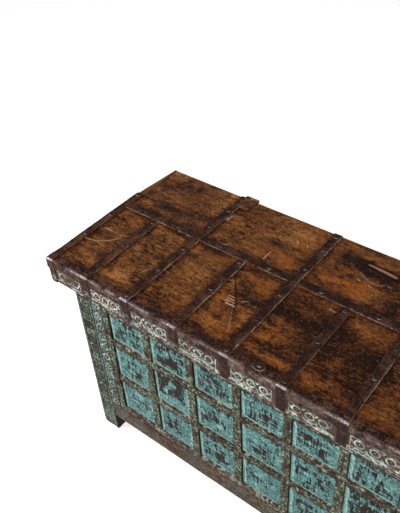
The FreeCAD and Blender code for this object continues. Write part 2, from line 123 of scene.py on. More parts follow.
floor_reach = 9.0
floor_mesh = bpy.data.meshes.new("floor")
floor_corners = [(floor_reach * x, floor_reach * y, 0) for x, y in ((-1, -1), (1, -1), (1, 1), (-1, 1))]
floor_mesh.from_pydata(floor_corners, [], [(0, 1, 2, 3)])
floor = bpy.data.objects.new("floor", floor_mesh)
scene.collection.objects.link(floor)
floor_white = bpy.data.materials.new("studio_floor")
floor_white.use_nodes = True
t = Tree(floor_white.node_tree)
matt = t.add("BsdfDiffuse", {"Color": (0.86, 0.86, 0.86)})[0]
glow = t.add("Emission", {"Color": (1, 1, 1), "Strength": 0.55})[0]
lit = t.add("AddShader", {0: matt, 1: glow})[0]
mix = t.add("MixShader", {"Fac": seen_directly(t)[1], 1: matt, 2: lit})[0]
t.add("OutputMaterial", {"Surface": mix})
floor_mesh.materials.append(floor_white)


# ---------------------------------------------------------------- lid boards
# Three hardwood boards, let in between the end fascias. They are hand planed, so a little wavy,
# and worn golden in the middle of each bay, and darker along the ironwork.
lid_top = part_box("lid_plank_front")[1].z
lid_left, lid_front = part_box("fascia_front")[0].x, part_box("fascia_front")[0].y
strap_half = 0.015
strap_nodes = ("short_strap_1", "hinge_strap_left", "short_strap_2", "centre_strap", "short_strap_3",
               "hinge_strap_right", "short_strap_4")
# Which way a board faces: the directions of its face's length, its face's height and its outside.
FACINGS = {
    "top": ((1, 0, 0), (0, 1, 0), (0, 0, 1)),
    "front": ((1, 0, 0), (0, 0, 1), (0, -1, 0)),
    "back": ((-1, 0, 0), (0, 0, 1), (0, 1, 0)),
    "right": ((0, 1, 0), (0, 0, 1), (1, 0, 0)),
    "left": ((0, -1, 0), (0, 0, 1), (-1, 0, 0)),
}


def unit(value):
    """A value held within 0..1."""
    return np.clip(value, 0, 1)


def bell(value, width, power=2):
    """1 where a value is 0, falling off over a width, with a flatter top at a higher power."""
    return np.exp(-(value / width) ** power)


def highest(*heights):
    """The largest of several height fields at each point."""
    return np.maximum.reduce(np.broadcast_arrays(*heights))


def soft_noise(a, b, size, seed):
    """Smooth random field in -1..1: random values on a square grid, joined by smoothstep."""
    cells = np.random.default_rng(seed).uniform(-1.0, 1.0, (97, 97))
    a, b = np.broadcast_arrays(a / size + 40.0, b / size + 40.0)
    i, j = np.floor(a).astype(int), np.floor(b).astype(int)
    s, t = a - i, b - j
    s, t = s * s * (3 - 2 * s), t * t * (3 - 2 * t)
    near, far = (cells[i % 97, k % 97] * (1 - s) + cells[(i + 1) % 97, k % 97] * s for k in (j, j + 1))
    return near * (1 - t) + far * t


def turned_out(points, quads, rings):
    """The faces as given, or all turned over where the volume they enclose comes out negative."""
    def solid(a, b, c):
        return np.einsum("ij,ij->", points[a], np.cross(points[b], points[c]))
    volume = solid(quads[:, 0], quads[:, 1], quads[:, 2]) + solid(quads[:, 0], quads[:, 2], quads[:, 3])
    for ring in rings:
        volume += solid(np.full(len(ring) - 2, ring[0]), ring[1:-1], ring[2:])
    return (quads, rings) if volume > 0 else (quads[:, ::-1], [ring[::-1] for ring in rings])


def new_mesh(name, shapes, sharp):
    """Mesh from closed shapes, each (points, quads, closing rings of vertices, fields)."""
    count, points, quads, rings, fields = 0, [], [], [], {}
    for p, q, r, f in shapes:
        p = np.asarray(p, float).reshape(-1, 3)
        q, r = turned_out(p, q, r)
        points.append(p)
        quads.append(q + count)
        rings += [ring + count for ring in r]
        for key, values in f.items():
            fields.setdefault(key, []).append(np.ravel(values))
        count += len(p)
    quads = np.concatenate(quads)
    corners = np.concatenate([quads.ravel()] + rings).astype(np.int32)
    sizes = [4] * len(quads) + [len(ring) for ring in rings]
    mesh = bpy.data.meshes.new(name)
    mesh.vertices.add(count)
    mesh.vertices.foreach_set("co", np.concatenate(points).astype(np.float32).ravel())
    mesh.loops.add(len(corners))
    mesh.loops.foreach_set("vertex_index", corners)
    mesh.polygons.add(len(sizes))
    mesh.polygons.foreach_set("loop_start", np.concatenate([[0], np.cumsum(sizes)[:-1]]).astype(np.int32))
    mesh.update(calc_edges=True)
    for key, values in fields.items():
        layer = mesh.attributes.new(key, "FLOAT", "POINT")
        layer.data.foreach_set("value", np.concatenate(values).astype(np.float32))
    mesh.shade_smooth()
    mesh.set_sharp_from_angle(angle=math.radians(sharp))
    return mesh


def new_piece(name, shapes, material, slot, body, *nodes, sharp=40.0):
    """Makes a piece, puts it on its body, and hides the CAD nodes it stands for."""
    piece = bpy.data.objects.new(name, new_mesh(name, shapes, sharp))
    scene.collection.objects.link(piece)
    piece.data.materials.append(material)
    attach(piece, body)
    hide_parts(*nodes)


def eased_line(length, step, ease):
    """Grid lines along one side: close ones on each rounded edge, even ones between."""
    start = ease * (1.0 - np.cos(np.arange(4) / 3.0 * math.pi / 2.0))
    count = max(2, int(round((length - 2 * ease) / step)) + 1)
    return np.concatenate([start, np.linspace(ease, length - ease, count)[1:-1], length - start[::-1]])


def slab(low, high, facing, steps, ease, relief=None):
    """Board whose face is a height field over its rectangle.

    The face is a grid in u and v, at the board's thickness less a quarter-round drop near each
    edge and less what relief(points) says. Walls go straight from its rim to a flat back.
    """
    u, v, w = np.array(FACINGS[facing], float)
    low, high = np.array(low), np.array(high)
    corner = np.where(u + v + w > 0, low, high)
    length, height, thick = (float(abs(axis) @ (high - low)) for axis in (u, v, w))
    a, b = np.meshgrid(eased_line(length, steps[0], ease), eased_line(height, steps[1], ease), indexing="ij")
    from_side, from_end = np.minimum(a, length - a), np.minimum(b, height - b)
    drop = 0.0
    for d in (from_side, from_end):
        drop = drop + ease - np.sqrt(ease * ease - np.clip(ease - d, 0.0, ease) ** 2)
    flat = corner + a[..., None] * u + b[..., None] * v + thick * w
    depth, fields = relief(flat) if relief else (0.0, {})
    points = flat - np.minimum(drop + depth, thick * 0.8)[..., None] * w
    index = np.arange(a.size).reshape(a.shape)
    quads = np.stack([index[:-1, :-1], index[1:, :-1], index[1:, 1:], index[:-1, 1:]], -1).reshape(-1, 4)
    rim = np.concatenate([index[:-1, 0], index[-1, :-1], index[:0:-1, -1], index[0, :0:-1]])
    foot = np.arange(len(rim)) + a.size
    walls = np.stack([rim, foot, np.roll(foot, -1), np.roll(rim, -1)], -1)
    fields = dict(fields, edge=np.exp(-np.minimum(from_side, from_end) / (1.4 * ease)))
    whole = {key: np.concatenate([np.ravel(f), np.ravel(f)[rim]]) for key, f in fields.items()}
    whole["behind"] = np.concatenate([np.zeros(a.size), np.ones(len(rim))])
    foot_points = flat.reshape(-1, 3)[rim] - thick * w
    return (np.concatenate([points.reshape(-1, 3), foot_points]), np.concatenate([quads, walls]),
            [foot[::-1]], whole)


def strap_places():
    """x of each cross strap's centre line and y where it ends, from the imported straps."""
    places = []
    for node in strap_nodes:
        low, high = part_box(node)
        x = high.x - strap_half if node == "hinge_strap_right" else low.x + strap_half
        places.append((x, min(high.y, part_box("lid_plank_rear")[1].y)))
    return places


def iron_distance(x, y):
    """Distance on the lid's top from the nearest iron's rectangle; the binding's counts for less."""
    far = 9.0
    irons = [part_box(node) for node in ("long_strap", "end_strap_left", "end_strap_right")]
    irons += [((middle - strap_half, -far), (middle + strap_half, end)) for middle, end in strap_places()]
    irons.append(((-far, lid_front - 1), (far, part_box("front_binding")[1].y)))
    near = [np.hypot(np.clip(low[0] - x, 0, None) + np.clip(x - high[0], 0, None),
                     np.clip(low[1] - y, 0, None) + np.clip(y - high[1], 0, None)) for low, high in irons]
    return np.minimum.reduce(near[:-1] + [0.62 * near[-1]])


def stroke(x, y, path, width):
    """Soft line along a path in millimetres: 1 on it, falling off over its width."""
    path = (np.array(path) / 1000).tolist()
    best = np.full(x.shape, 1e3)
    for (x0, y0), (x1, y1) in zip(path[:-1], path[1:]):
        t = unit(((x - x0) * (x1 - x0) + (y - y0) * (y1 - y0)) / ((x1 - x0) ** 2 + (y1 - y0) ** 2))
        best = np.minimum(best, np.hypot(x - x0 - t * (x1 - x0), y - y0 - t * (y1 - y0)))
    return bell(best, width)


def worn_board(points):
    """Height and wear of the lid's top: planing waves, grain ridges, cracks and scratches."""
    x, y = points[..., 0], points[..., 1]
    across, back = x - lid_left, y - lid_front
    wave = 0.5 * soft_noise(x, y, 0.11, 3) + 0.25 * soft_noise(x, y * 2.5, 0.05, 4)
    ridge = soft_noise(x / 9.0, y, 0.004, 5)
    ragged = 1.0 + 0.85 * soft_noise(x, y, 0.035, 6) + 0.5 * soft_noise(x, y, 0.012, 7)
    # Darker towards the irons, over a ragged margin.
    dark_by_iron = bell(np.clip(iron_distance(x, y) * ragged, 0, None), 0.017, 1.2)
    crack = highest(*[stroke(across, back, path, width / 10000) for width, path in lid_cracks])
    scratch = highest(*[strength / 100 * stroke(across, back, path, width / 10000)
                        for width, strength, path in lid_scratches])
    # The gouge is partly pale exposed wood and partly a painted highlight along it.
    gouge_with_highlight = stroke(across, back, lid_gouge,
                   np.interp(across, [0.835, 0.875, 0.905, 0.925], [0.0022, 0.0046, 0.0046, 0.0034]))
    bent_x = across + 0.011 * soft_noise(x, y, 0.026, 8) + 0.005 * soft_noise(x, y, 0.010, 9)
    bent_y = back + 0.009 * soft_noise(x, y, 0.022, 10) + 0.005 * soft_noise(x, y, 0.008, 11)
    gold = np.zeros(x.shape)
    for sx, sy, rx, ry, strength in np.array(lid_patches) / (1000, 1000, 1000, 1000, 100):
        gold = gold + strength * np.exp(-((bent_x - sx) / rx) ** 2 - ((bent_y - sy) / ry) ** 2)
    depth = 0.0009 - 0.0005 * wave + 0.00015 * ridge + 0.0016 * crack + 0.0004 * scratch + 0.0008 * gouge_with_highlight
    red = np.interp(across, [0.30, 0.75], [0.0, 1.0]) - 0.25 * (back > 0.36)
    red = red + 0.7 * soft_noise(x, y, 0.06, 12)
    return depth, {"dark_by_iron": dark_by_iron, "crack": crack, "scratch": scratch, "gouge_with_highlight": gouge_with_highlight, "gold": gold,
                   "red": red}


# Marks on the lid, in millimetres from its front left corner, with widths in tenths and strengths in
# hundredths. Cracks: width, path. Scratches: width, strength, path. Patches of lighter (+) or darker (-)
# wood: x, y, reach along x, reach along y, strength.
lid_cracks = [
    (15, [(347, 270), (396, 259), (461, 245)]), (12, [(189, 315), (252, 301), (308, 286)]),
    (30, [(532, 272), (560, 238), (590, 198), (612, 164), (621, 141)]),
    (30, [(760, 540), (810, 549), (891, 545), (936, 538)]), (22, [(801, 527), (864, 524), (936, 515)]),
    (13, [(36, 113), (90, 110), (144, 110)]), (12, [(198, 454), (270, 450), (315, 454)]),
    (12, [(720, 292), (783, 284), (846, 288)]),
]
lid_scratches = [
    (11, 60, [(24, 214), (55, 218), (84, 216), (111, 215), (129, 221)]),
    (14, 80, [(22, 142), (45, 144), (65, 150), (89, 164), (111, 187), (124, 211)]),
    (14, 90, [(569, 193), (590, 194)]), (17, 100, [(572, 182), (595, 183)]),
    (16, 100, [(572, 172), (603, 175)]), (20, 100, [(579, 163), (609, 164)]),
    (14, 32, [(610, 152), (622, 132), (631, 114), (644, 91), (650, 77)]),
    (24, 45, [(531, 247), (546, 251)]), (13, 60, [(615, 191), (628, 203)]),
    (32, 80, [(350, 476), (352, 500)]), (20, 80, [(558, 421), (559, 382)]),
    (22, 60, [(599, 513), (607, 504)]), (22, 60, [(635, 511), (643, 500)]),
    (12, 50, [(828, 493), (850, 480), (870, 470), (887, 472), (903, 473), (913, 482)]),
    (18, 60, [(834, 464), (845, 460)]), (18, 65, [(873, 456), (884, 452)]),
    (14, 50, [(921, 484), (932, 482)]), (20, 55, [(833, 308), (850, 306)]),
    (11, 80, [(292, 126), (306, 151)]), (11, 80, [(405, 364), (432, 376)]),
]
lid_gouge = [(835, 539), (855, 538), (879, 536), (906, 533), (925, 530)]
# The strong dark patches at y 527 along the gouge are partly dark wood and partly painted shadow of the
# gouge.
lid_patches = [
    (135, 549, 58, 32, -50), (207, 418, 90, 29, -60), (234, 531, 63, 22, 30), (76, 392, 29, 18, 60),
    (292, 576, 27, 45, 35), (63, 495, 36, 36, 25), (81, 310, 36, 22, 35), (112, 274, 22, 18, 40),
    (81, 184, 50, 22, -50), (90, 76, 36, 18, 60), (81, 112, 36, 9, -40), (40, 81, 14, 27, -30),
    (202, 310, 22, 22, 60), (243, 225, 36, 45, -15), (234, 63, 45, 22, 50), (198, 198, 14, 27, 30),
    (288, 162, 14, 90, -30), (370, 300, 22, 26, 50), (432, 207, 54, 45, 35), (369, 189, 18, 54, -10),
    (441, 99, 54, 27, 30), (396, 68, 54, 14, -30), (396, 468, 45, 27, 20), (360, 549, 27, 27, -30),
    (468, 540, 54, 36, 15), (576, 531, 72, 45, 35), (558, 459, 63, 22, -45), (630, 414, 36, 27, 20),
    (531, 396, 36, 18, 20), (567, 297, 22, 27, 50), (630, 288, 27, 36, 50), (558, 171, 25, 36, 60),
    (752, 245, 26, 35, -60), (610, 216, 32, 26, -110), (624, 150, 12, 14, -90), (652, 144, 14, 27, 50),
    (603, 81, 45, 22, 50), (554, 243, 11, 18, 50), (540, 117, 27, 11, -40), (648, 225, 18, 18, -50),
    (783, 223, 81, 18, -90), (738, 180, 27, 22, 60), (783, 153, 36, 27, 60), (729, 112, 18, 18, 50),
    (819, 117, 27, 18, -30), (783, 61, 72, 7, 90), (783, 85, 72, 7, -60), (828, 288, 27, 18, -30),
    (1088, 200, 36, 60, -90), (918, 63, 27, 11, 60), (985, 200, 70, 40, -90), (1000, 130, 40, 40, -80),
    (905, 240, 18, 45, -60), (968, 285, 28, 20, 40), (912, 140, 26, 60, -80), (985, 240, 60, 50, -50),
    (950, 100, 40, 14, -80), (780, 180, 90, 50, -20), (873, 527, 76, 18, -110), (765, 540, 27, 18, -50),
    (756, 414, 45, 22, 50), (855, 441, 54, 36, 30), (918, 468, 36, 18, -40), (792, 585, 54, 14, 20),
    (1098, 198, 54, 72, 30), (1242, 144, 54, 36, -40), (1296, 468, 63, 54, 30), (1134, 522, 54, 36, -50),
    (800, 130, 45, 55, -70), (190, 450, 170, 110, -28), (880, 500, 130, 80, -25), (850, 527, 85, 24, -140),
    (990, 440, 50, 70, -70), (600, 472, 60, 12, -60), (550, 468, 30, 20, -50), (780, 222, 90, 26, -90),
    (780, 290, 80, 40, -40), (730, 200, 20, 100, -30), (840, 200, 20, 100, -35), (745, 86, 30, 14, -60),
    (530, 290, 20, 25, -50), (60, 250, 30, 80, -15), (302, 568, 26, 50, 90), (30, 530, 40, 30, -70),
    (235, 490, 35, 16, -60), (425, 490, 24, 24, -60), (425, 215, 30, 18, -60), (560, 312, 36, 10, -70),
    (590, 400, 26, 18, 40), (575, 312, 30, 14, -50), (215, 446, 30, 16, -60), (640, 128, 18, 16, -60),
    (372, 288, 24, 26, 40), (60, 580, 40, 20, 40), (45, 320, 26, 24, 60), (235, 308, 45, 12, 50),
    (40, 400, 26, 16, 50), (425, 130, 24, 16, -40), (960, 270, 40, 40, 30), (815, 40, 45, 12, -120),
    (615, 43, 32, 12, 70), (362, 68, 16, 22, 60), (301, 175, 14, 34, 80), (483, 160, 16, 20, 70),
    (61, 508, 30, 25, -80), (106, 430, 34, 16, -70), (122, 130, 16, 22, -70), (240, 160, 22, 18, -60),
    (573, 250, 16, 18, -70), (553, 521, 30, 18, -60), (661, 570, 18, 30, 60), (661, 281, 14, 22, 60),
    (287, 311, 26, 13, 60), (722, 160, 12, 20, 60), (150, 583, 30, 18, 60), (780, 296, 36, 20, -60),
    (905, 494, 36, 16, -110), (440, 100, 28, 13, -50), (362, 492, 18, 20, 50), (810, 191, 22, 20, -50),
]


class Finish(Tree):
    """Shader nodes of a worn finish: wood, paint or iron."""

    def times(self, a, b):
        return self.math("MULTIPLY", a, b)

    def weighted(self, base, *terms):
        """base plus each value times its weight."""
        for value, weight in terms:
            base = self.math("ADD", self.times(value, weight), base)
        return base

    def stretch(self, vector, scale):
        return self.add("VectorMath", {0: vector, 1: scale}, operation="MULTIPLY")[0]

    def noise(self, vector, scale, detail=4.0, rough=0.55, distortion=0.0):
        """Fractal noise. Three scales stretch it along X, Y and Z."""
        if isinstance(scale, tuple):
            vector, scale = self.stretch(vector, scale), 1.0
        return self.add("TexNoise", {"Vector": vector, "Scale": scale, "Detail": detail,
                                     "Roughness": rough, "Distortion": distortion})["Fac"]

    def spread(self, value, low, high, to_low=0.0, to_high=1.0):
        """Smooth step of a value from low..high to to_low..to_high."""
        return self.add("MapRange", {"Value": value, "From Min": low, "From Max": high, "To Min": to_low,
                                     "To Max": to_high}, interpolation_type="SMOOTHSTEP")[0]

    def blend(self, factor, a, b, mode="MIX"):
        """Mix of two colours."""
        return self.add("Mix", {0: factor, 6: a, 7: b}, data_type="RGBA", blend_type=mode,
                        clamp_factor=True)[2]

    def field(self, name):
        """A value that the mesh carries at its vertices."""
        return self.add("Attribute", attribute_name=name)["Fac"]

    def space(self, turn=(0.0, 0.0, 0.0)):
        """Object coordinates turned so that the wood's grain runs along their X."""
        return self.add("Mapping", {"Vector": self.add("TexCoord")["Object"], "Rotation": turn})[0]

    def surface(self, colour, rough, shine, height, strength, distance, **more):
        """Principled surface over a bump of the given height, as the material's output."""
        bump = self.add("Bump", {"Height": height, "Strength": strength, "Distance": distance})[0]
        shader = self.add("BsdfPrincipled", {"Base Color": colour, "Roughness": rough,
                                             "Specular IOR Level": shine, "Normal": bump, **more})[0]
        self.add("OutputMaterial", {"Surface": shader})


def new_finish(name):
    """Empty node material and its nodes."""
    material = bpy.data.materials.new(name)
    material.use_nodes = True
    return material, Finish(material.node_tree)


def new_group(name, inputs, outputs):
    """Node group with named sockets: the group, its nodes, and the sockets at its two ends."""
    group = bpy.data.node_groups.new(name, "ShaderNodeTree")
    for way, sockets in (("INPUT", inputs), ("OUTPUT", outputs)):
        for socket, kind in sockets.items():
            group.interface.new_socket(socket, in_out=way, socket_type="NodeSocket" + kind)
    t = Finish(group)
    return group, t, group.nodes.new("NodeGroupInput").outputs, group.nodes.new("NodeGroupOutput").inputs


# Wood figure, for every wooden piece: Streak is fine grain along X, Blotch is uneven colour,
# Pore is short dark pores, all 0..1.
wood_figure, t, given, made = new_group("wood_figure", {"Vector": "Vector", "Grain Size": "Float"},
                                        {"Streak": "Float", "Blotch": "Float", "Pore": "Float"})
sway = t.add("TexNoise", {"Vector": given["Vector"], "Scale": 5.0, "Detail": 2.0})["Color"]
bent = t.add("VectorMath", {0: given["Vector"], 1: t.stretch(sway, (0.0, 0.02, 0.02))}, operation="ADD")[0]
sized = t.add("VectorMath", {0: bent, "Scale": given["Grain Size"]}, operation="SCALE")[0]
t.put(made["Streak"], t.spread(t.noise(sized, (9.0, 150.0, 150.0), 5.0, 0.65), 0.3, 0.7))
t.put(made["Blotch"], t.spread(t.noise(bent, (7.0, 13.0, 13.0), 7.0, 0.62, 0.6), 0.32, 0.68))
t.put(made["Pore"], t.spread(t.noise(sized, (45.0, 600.0, 600.0), 3.0, 0.6), 0.55, 0.75))

waxed_black, waxed_dark, waxed_brown = (0.017, 0.0045, 0.0015), (0.052, 0.0155, 0.0045), (0.142, 0.043, 0.009)
waxed_gold, waxed_red = (0.46, 0.196, 0.056), (0.39, 0.112, 0.013)
lid_wood, t = new_finish("waxed_lid_wood")
space = t.space()
figure = t.add("Group", {"Vector": space, "Grain Size": 1.0}, node_tree=wood_figure)
fine = t.spread(t.noise(space, (100.0, 250.0, 250.0), 4.0, 0.7), 0.39, 0.61)
grain = t.spread(t.noise(space, (13.0, 290.0, 290.0), 4.0, 0.6, 0.3), 0.38, 0.58)
lines = t.spread(t.noise(space, (5.0, 170.0, 170.0), 3.0, 0.6, 0.5), 0.60, 0.67)
stain = t.spread(t.noise(space, (24.0, 50.0, 50.0), 8.0, 0.8, 0.3), 0.505, 0.555)
stained = t.spread(t.noise(space, 9.0, 4.0, 0.6), 0.42, 0.58, 0.25, 1.0)
scuffs = t.noise(t.space((0.0, 0.0, 1.0)), (16.0, 330.0, 330.0), 3.0, 0.6, 0.2)
scuffed = t.times(t.spread(scuffs, 0.56, 0.64), t.spread(t.noise(space, 6.0, 3.0), 0.45, 0.62))
middling = t.spread(t.noise(space, (18.0, 40.0, 40.0), 5.0, 0.7, 0.5), 0.34, 0.66)
chips = t.noise(space, (70.0, 240.0, 240.0), 3.0, 0.7)
tone = t.weighted(0.0, (figure["Blotch"], 0.28), (middling, 0.20), (figure["Streak"], 0.14), (fine, 0.40),
                  (grain, 0.22), (scuffed, 0.24), (lines, -0.18), (t.field("gold"), 0.45),
                  (t.field("dark_by_iron"), -0.40), (figure["Pore"], -0.16), (t.times(stain, stained), -0.42))
colour = t.blend(t.spread(tone, 0.0, 0.24), waxed_black, waxed_dark)
colour = t.blend(t.spread(tone, 0.18, 0.56), colour, waxed_brown)
warm = t.blend(t.spread(t.field("red"), 0.0, 1.0), waxed_gold, waxed_red)
scratched = t.times(t.field("scratch"), t.spread(fine, 0.0, 0.8, 0.35, 1.0))
dry = t.blend(figure["Streak"], (0.085, 0.042, 0.020), (0.165, 0.088, 0.044))
# The gouge's pale colour is partly a painted highlight.
for amount, over in ((t.spread(tone, 0.44, 1.20), warm),
                     (t.spread(chips, 0.58, 0.68, 0.0, 0.40), (0.42, 0.20, 0.085)),
                     (t.spread(chips, 0.34, 0.43, 0.50, 0.0), waxed_black),
                     (scratched, (0.84, 0.52, 0.35)),
                     (t.field("gouge_with_highlight"), (0.44, 0.22, 0.155)),
                     (t.field("crack"), (0.012, 0.007, 0.005)),
                     (t.times(t.field("behind"), 0.85), dry)):
    colour = t.blend(amount, colour, over)
t.surface(colour, t.spread(figure["Blotch"], 0.0, 1.0, 0.52, 0.38), 0.12,
          t.math("ADD", t.times(figure["Streak"], 0.5), fine), 0.35, 0.0012)

for node in ("lid_plank_front", "lid_plank_middle", "lid_plank_rear"):
    board = slab(*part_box(node), "top", (0.0024, 0.0021), 0.0018, worn_board)
    new_piece(node + "_worn", [board], lid_wood, "lid_wood", "lid", node)


# ---------------------------------------------------------------- lid battens
# Three bare bars nailed across the underside of the lid boards, planed and left unfinished.
# The chest's inside and underside are of the same dry wood.
def bare_wood(name, turn, light, dark):
    """Dry unfinished wood whose grain runs along the turned X."""
    material, t = new_finish(name)
    figure = t.add("Group", {"Vector": t.space(turn), "Grain Size": 0.8}, node_tree=wood_figure)
    tone = t.math("ADD", t.times(figure["Streak"], 0.5), t.times(figure["Blotch"], 0.5))
    colour = t.blend(tone, dark, light)
    for amount in (t.times(figure["Pore"], 0.5), t.times(t.field("edge"), 0.8)):
        colour = t.blend(amount, colour, (0.03, 0.018, 0.012))
    t.surface(colour, 0.8, 0.25, figure["Streak"], 0.4, 0.0008)
    return material


def finish_nodes(material, *nodes):
    """Gives CAD nodes that stay as they are their finish."""
    for node in nodes:
        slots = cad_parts[node].data.materials
        slots.clear()
        slots.append(material)


QUARTER = math.pi / 2.0
ALONG_X, ALONG_Y, ALONG_Z = (0.0, 0.0, 0.0), (0.0, 0.0, -QUARTER), (0.0, QUARTER, 0.0)
batten_wood = bare_wood("dry_batten_wood", ALONG_Y, (0.20, 0.115, 0.058), (0.085, 0.045, 0.024))
finish_nodes(batten_wood, "lid_batten_left", "lid_batten_centre", "lid_batten_right")


# ---------------------------------------------------------------- fascias
# Boards nailed round the edge of the lid. The front one has a carved band of cartouches between
# the straps, each with a raised border round three ring flowers, painted cream and turquoise.
band_low, band_high = 0.7805, 0.8245
fascia_margin = 0.025
bay_shift, bay_gap = 0.0035, 0.0080


def ramp(value, width):
    """Rises from 0 to 1 as a value goes from 0 to a width."""
    return np.clip(value / width, 0, 1)


def ring_flower(dx, dz, radius):
    """Height 0..1 of a carved flower: a raised ring round six small petals and a button."""
    d = np.hypot(dx, dz) / radius
    petals = bell(d - 0.42, 0.10) * (0.2 + 0.2 * np.cos(6 * np.arctan2(dz, dx)))
    return highest(bell(d - 0.80, 0.20, 4), petals, 0.8 * bell(d, 0.2))


def leaf(dx, dz, length, width, angle):
    """Height 0..1 of a carved leaf: a pointed oval, with a vein cut along its middle."""
    a = dx * math.cos(angle) + dz * math.sin(angle)
    b = -dx * math.sin(angle) + dz * math.cos(angle)
    inside = 1.0 - (np.abs(b) / width + (np.abs(a) / length) ** 2)
    return unit(inside * 2.2) * (1.0 - 0.6 * bell(b, 0.16 * width))


def frame_ridge(dx, dz, half_x, half_z, width):
    """Height 0..1 of a raised border just inside a rectangle, and 1 inside the rectangle."""
    d = np.minimum(half_x - np.abs(dx), half_z - np.abs(dz))
    return bell(d - width, 0.62 * width, 4) * (d > 0), ramp(d, 0.001)


def fascia_bays():
    """Middle and half length of each stretch of fascia between two straps."""
    edges = [x for middle, _ in strap_places() for x in (middle - strap_half, middle + strap_half)]
    edges = [lid_left + fascia_margin, *edges, -lid_left - fascia_margin]
    return [((a + b) / 2 - bay_shift, (b - a) / 2 - bay_gap) for a, b in zip(edges[::2], edges[1::2])]


def carved_fascia(points):
    """Cartouches with a border, three ring flowers and leaves, over a bead cut with dashes."""
    x, z = points[..., 0], points[..., 2]
    across, dz = x - lid_left, z - (band_low + band_high) / 2
    half_z = (band_high - band_low) / 2
    high, ground = np.zeros(x.shape), np.zeros(x.shape)
    for middle, half in fascia_bays():
        dx = x - middle
        ridge, inside = frame_ridge(dx, dz, half, half_z, 0.0030)
        pitch = (2 * half - 0.014) / 3.0
        flower = ring_flower(dx - np.clip(np.round(dx / pitch), -1, 1) * pitch, dz, 0.0155)
        between = dx - (np.clip(np.floor(dx / pitch), -1, 0) + 0.5) * pitch
        leaves = [leaf(between, dz - side * 0.0125, 0.0105, 0.0042, side * 0.75) for side in (-1, 1)]
        leaves += [leaf(dx - side * (half - 0.0085), dz, 0.013, 0.0038, side * 1.25) for side in (-1, 1)]
        high = highest(high, ridge, highest(flower, *leaves) * (np.abs(dx) < half - 0.004))
        ground = np.maximum(ground, inside)
    soften = 0.75 + 0.35 * soft_noise(x, z, 0.018, 21) - 0.10 * ramp(lid_left + 0.17 - x, 0.05)
    carve = 1.0 - ground * (1.0 - unit(high * soften))
    margin = (1.0 - ground) * ramp(half_z - np.abs(dz), 0.001)
    bead = bell(z - band_low + 0.0012, 0.0009)
    dash = (np.abs(z - band_low + 0.0052) < 0.0024) * unit(4 * np.sin(x * 2 * math.pi / 0.0145))
    depth = 0.0032 * (1 - carve) + 0.0016 * bead + 0.0007 * dash + 0.0005 * (1 + soft_noise(x, z, 0.06, 22))
    turquoise = ramp(across - 0.22, 0.18) * (0.65 + 0.40 * soft_noise(x, z, 0.04, 23))
    turquoise = np.maximum(turquoise, 0.8 * unit(soft_noise(x, z, 0.03, 24) - 0.25))
    below = ramp(band_low - z, 0.001) * np.interp(across, [0.2, 0.5], [1.15, 0.6])
    kept = 0.18 * bell(across - 0.40, 0.06) - 0.10 * bell(across - 0.08, 0.06)
    kept = kept - 0.10 * bell(across - 0.60, 0.06)
    return depth, {"carve": carve + kept, "turquoise": turquoise, "dash": dash, "below": below,
                   "margin": margin}


def plain_fascia(points):
    """End fascia: runs in towards the rear, where it is worn, with a cut line near its foot."""
    y, z = points[..., 1], points[..., 2]
    rear_from, rear_to = (corner.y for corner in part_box("lid_plank_rear"))
    taper = 0.0158 * ramp(y - rear_from, rear_to - rear_from)
    line = bell(z - band_low, 0.001) + bell(z - band_high, 0.001)
    depth = 0.0005 + taper + 0.0012 * line + 0.0004 * soft_noise(y, z, 0.05, 25)
    return depth, {"carve": 1 - 0.7 * line, "below": ramp(band_low - z, 0.001)}


# Old paint, for every painted piece: two coats over wood, worn through in patches and flakes,
# with dirt in the low places; the same dark colour serves as painted shade where a piece's fields
# ask for it. Wear and Dirt move the patches' threshold up or down.
old_paint, t, given, made = new_group(
    "old_paint",
    {"Vector": "Vector", "Paint": "Color", "Second Paint": "Color", "Wood": "Color",
     "Dirt Colour": "Color", "Second Coat": "Float", "Wear": "Float", "Dirt": "Float", "Flecks": "Float"},
    {"Color": "Color", "Bare": "Float", "Height": "Float"})
space, second, dirty = given["Vector"], given["Second Paint"], given["Dirt Colour"]
flecks = given["Flecks"]
patch = t.spread(t.noise(space, 17.0, 7.0, 0.66, 0.4), 0.3, 0.7)
flake = t.spread(t.noise(space, (42.0, 150.0, 150.0), 5.0, 0.7), 0.3, 0.7)
bare = t.spread(t.weighted(given["Wear"], (patch, 0.45), (flake, 0.55)), 0.62, 0.70)
coat = t.weighted(given["Second Coat"], (t.spread(t.noise(space, 40.0, 7.0, 0.75), 0.3, 0.7), 1.0))
colour = t.blend(t.spread(coat, 0.55, 0.80), given["Paint"], second)
pale_flecks = t.spread(t.noise(space, 150.0, 3.0, 0.65), 0.51, 0.60, 0.0, 0.8)
colour = t.blend(t.times(pale_flecks, flecks), colour, second)
mottle = t.noise(space, 115.0, 4.0, 0.7)
shade = t.blend(0.4, t.blend(1.0, colour, (0.30, 0.27, 0.26), "MULTIPLY"), t.blend(0.5, given["Wood"], dirty))
colour = t.blend(t.times(t.spread(mottle, 0.44, 0.53, 0.95, 0.0), flecks), colour, shade)
grain = t.spread(t.noise(space, (14.0, 260.0, 260.0), 4.0, 0.7), 0.3, 0.7)
colour = t.blend(bare, colour, t.blend(grain, dirty, given["Wood"]))
low = t.weighted(given["Dirt"], (t.noise(space, 12.0, 7.0, 0.7), 0.6), (mottle, 0.4))
t.put(made["Color"], t.blend(t.spread(low, 0.52, 0.75), colour, dirty))
t.put(made["Bare"], bare)
t.put(made["Height"], t.math("SUBTRACT", t.times(mottle, 0.35), t.times(bare, 0.5)))


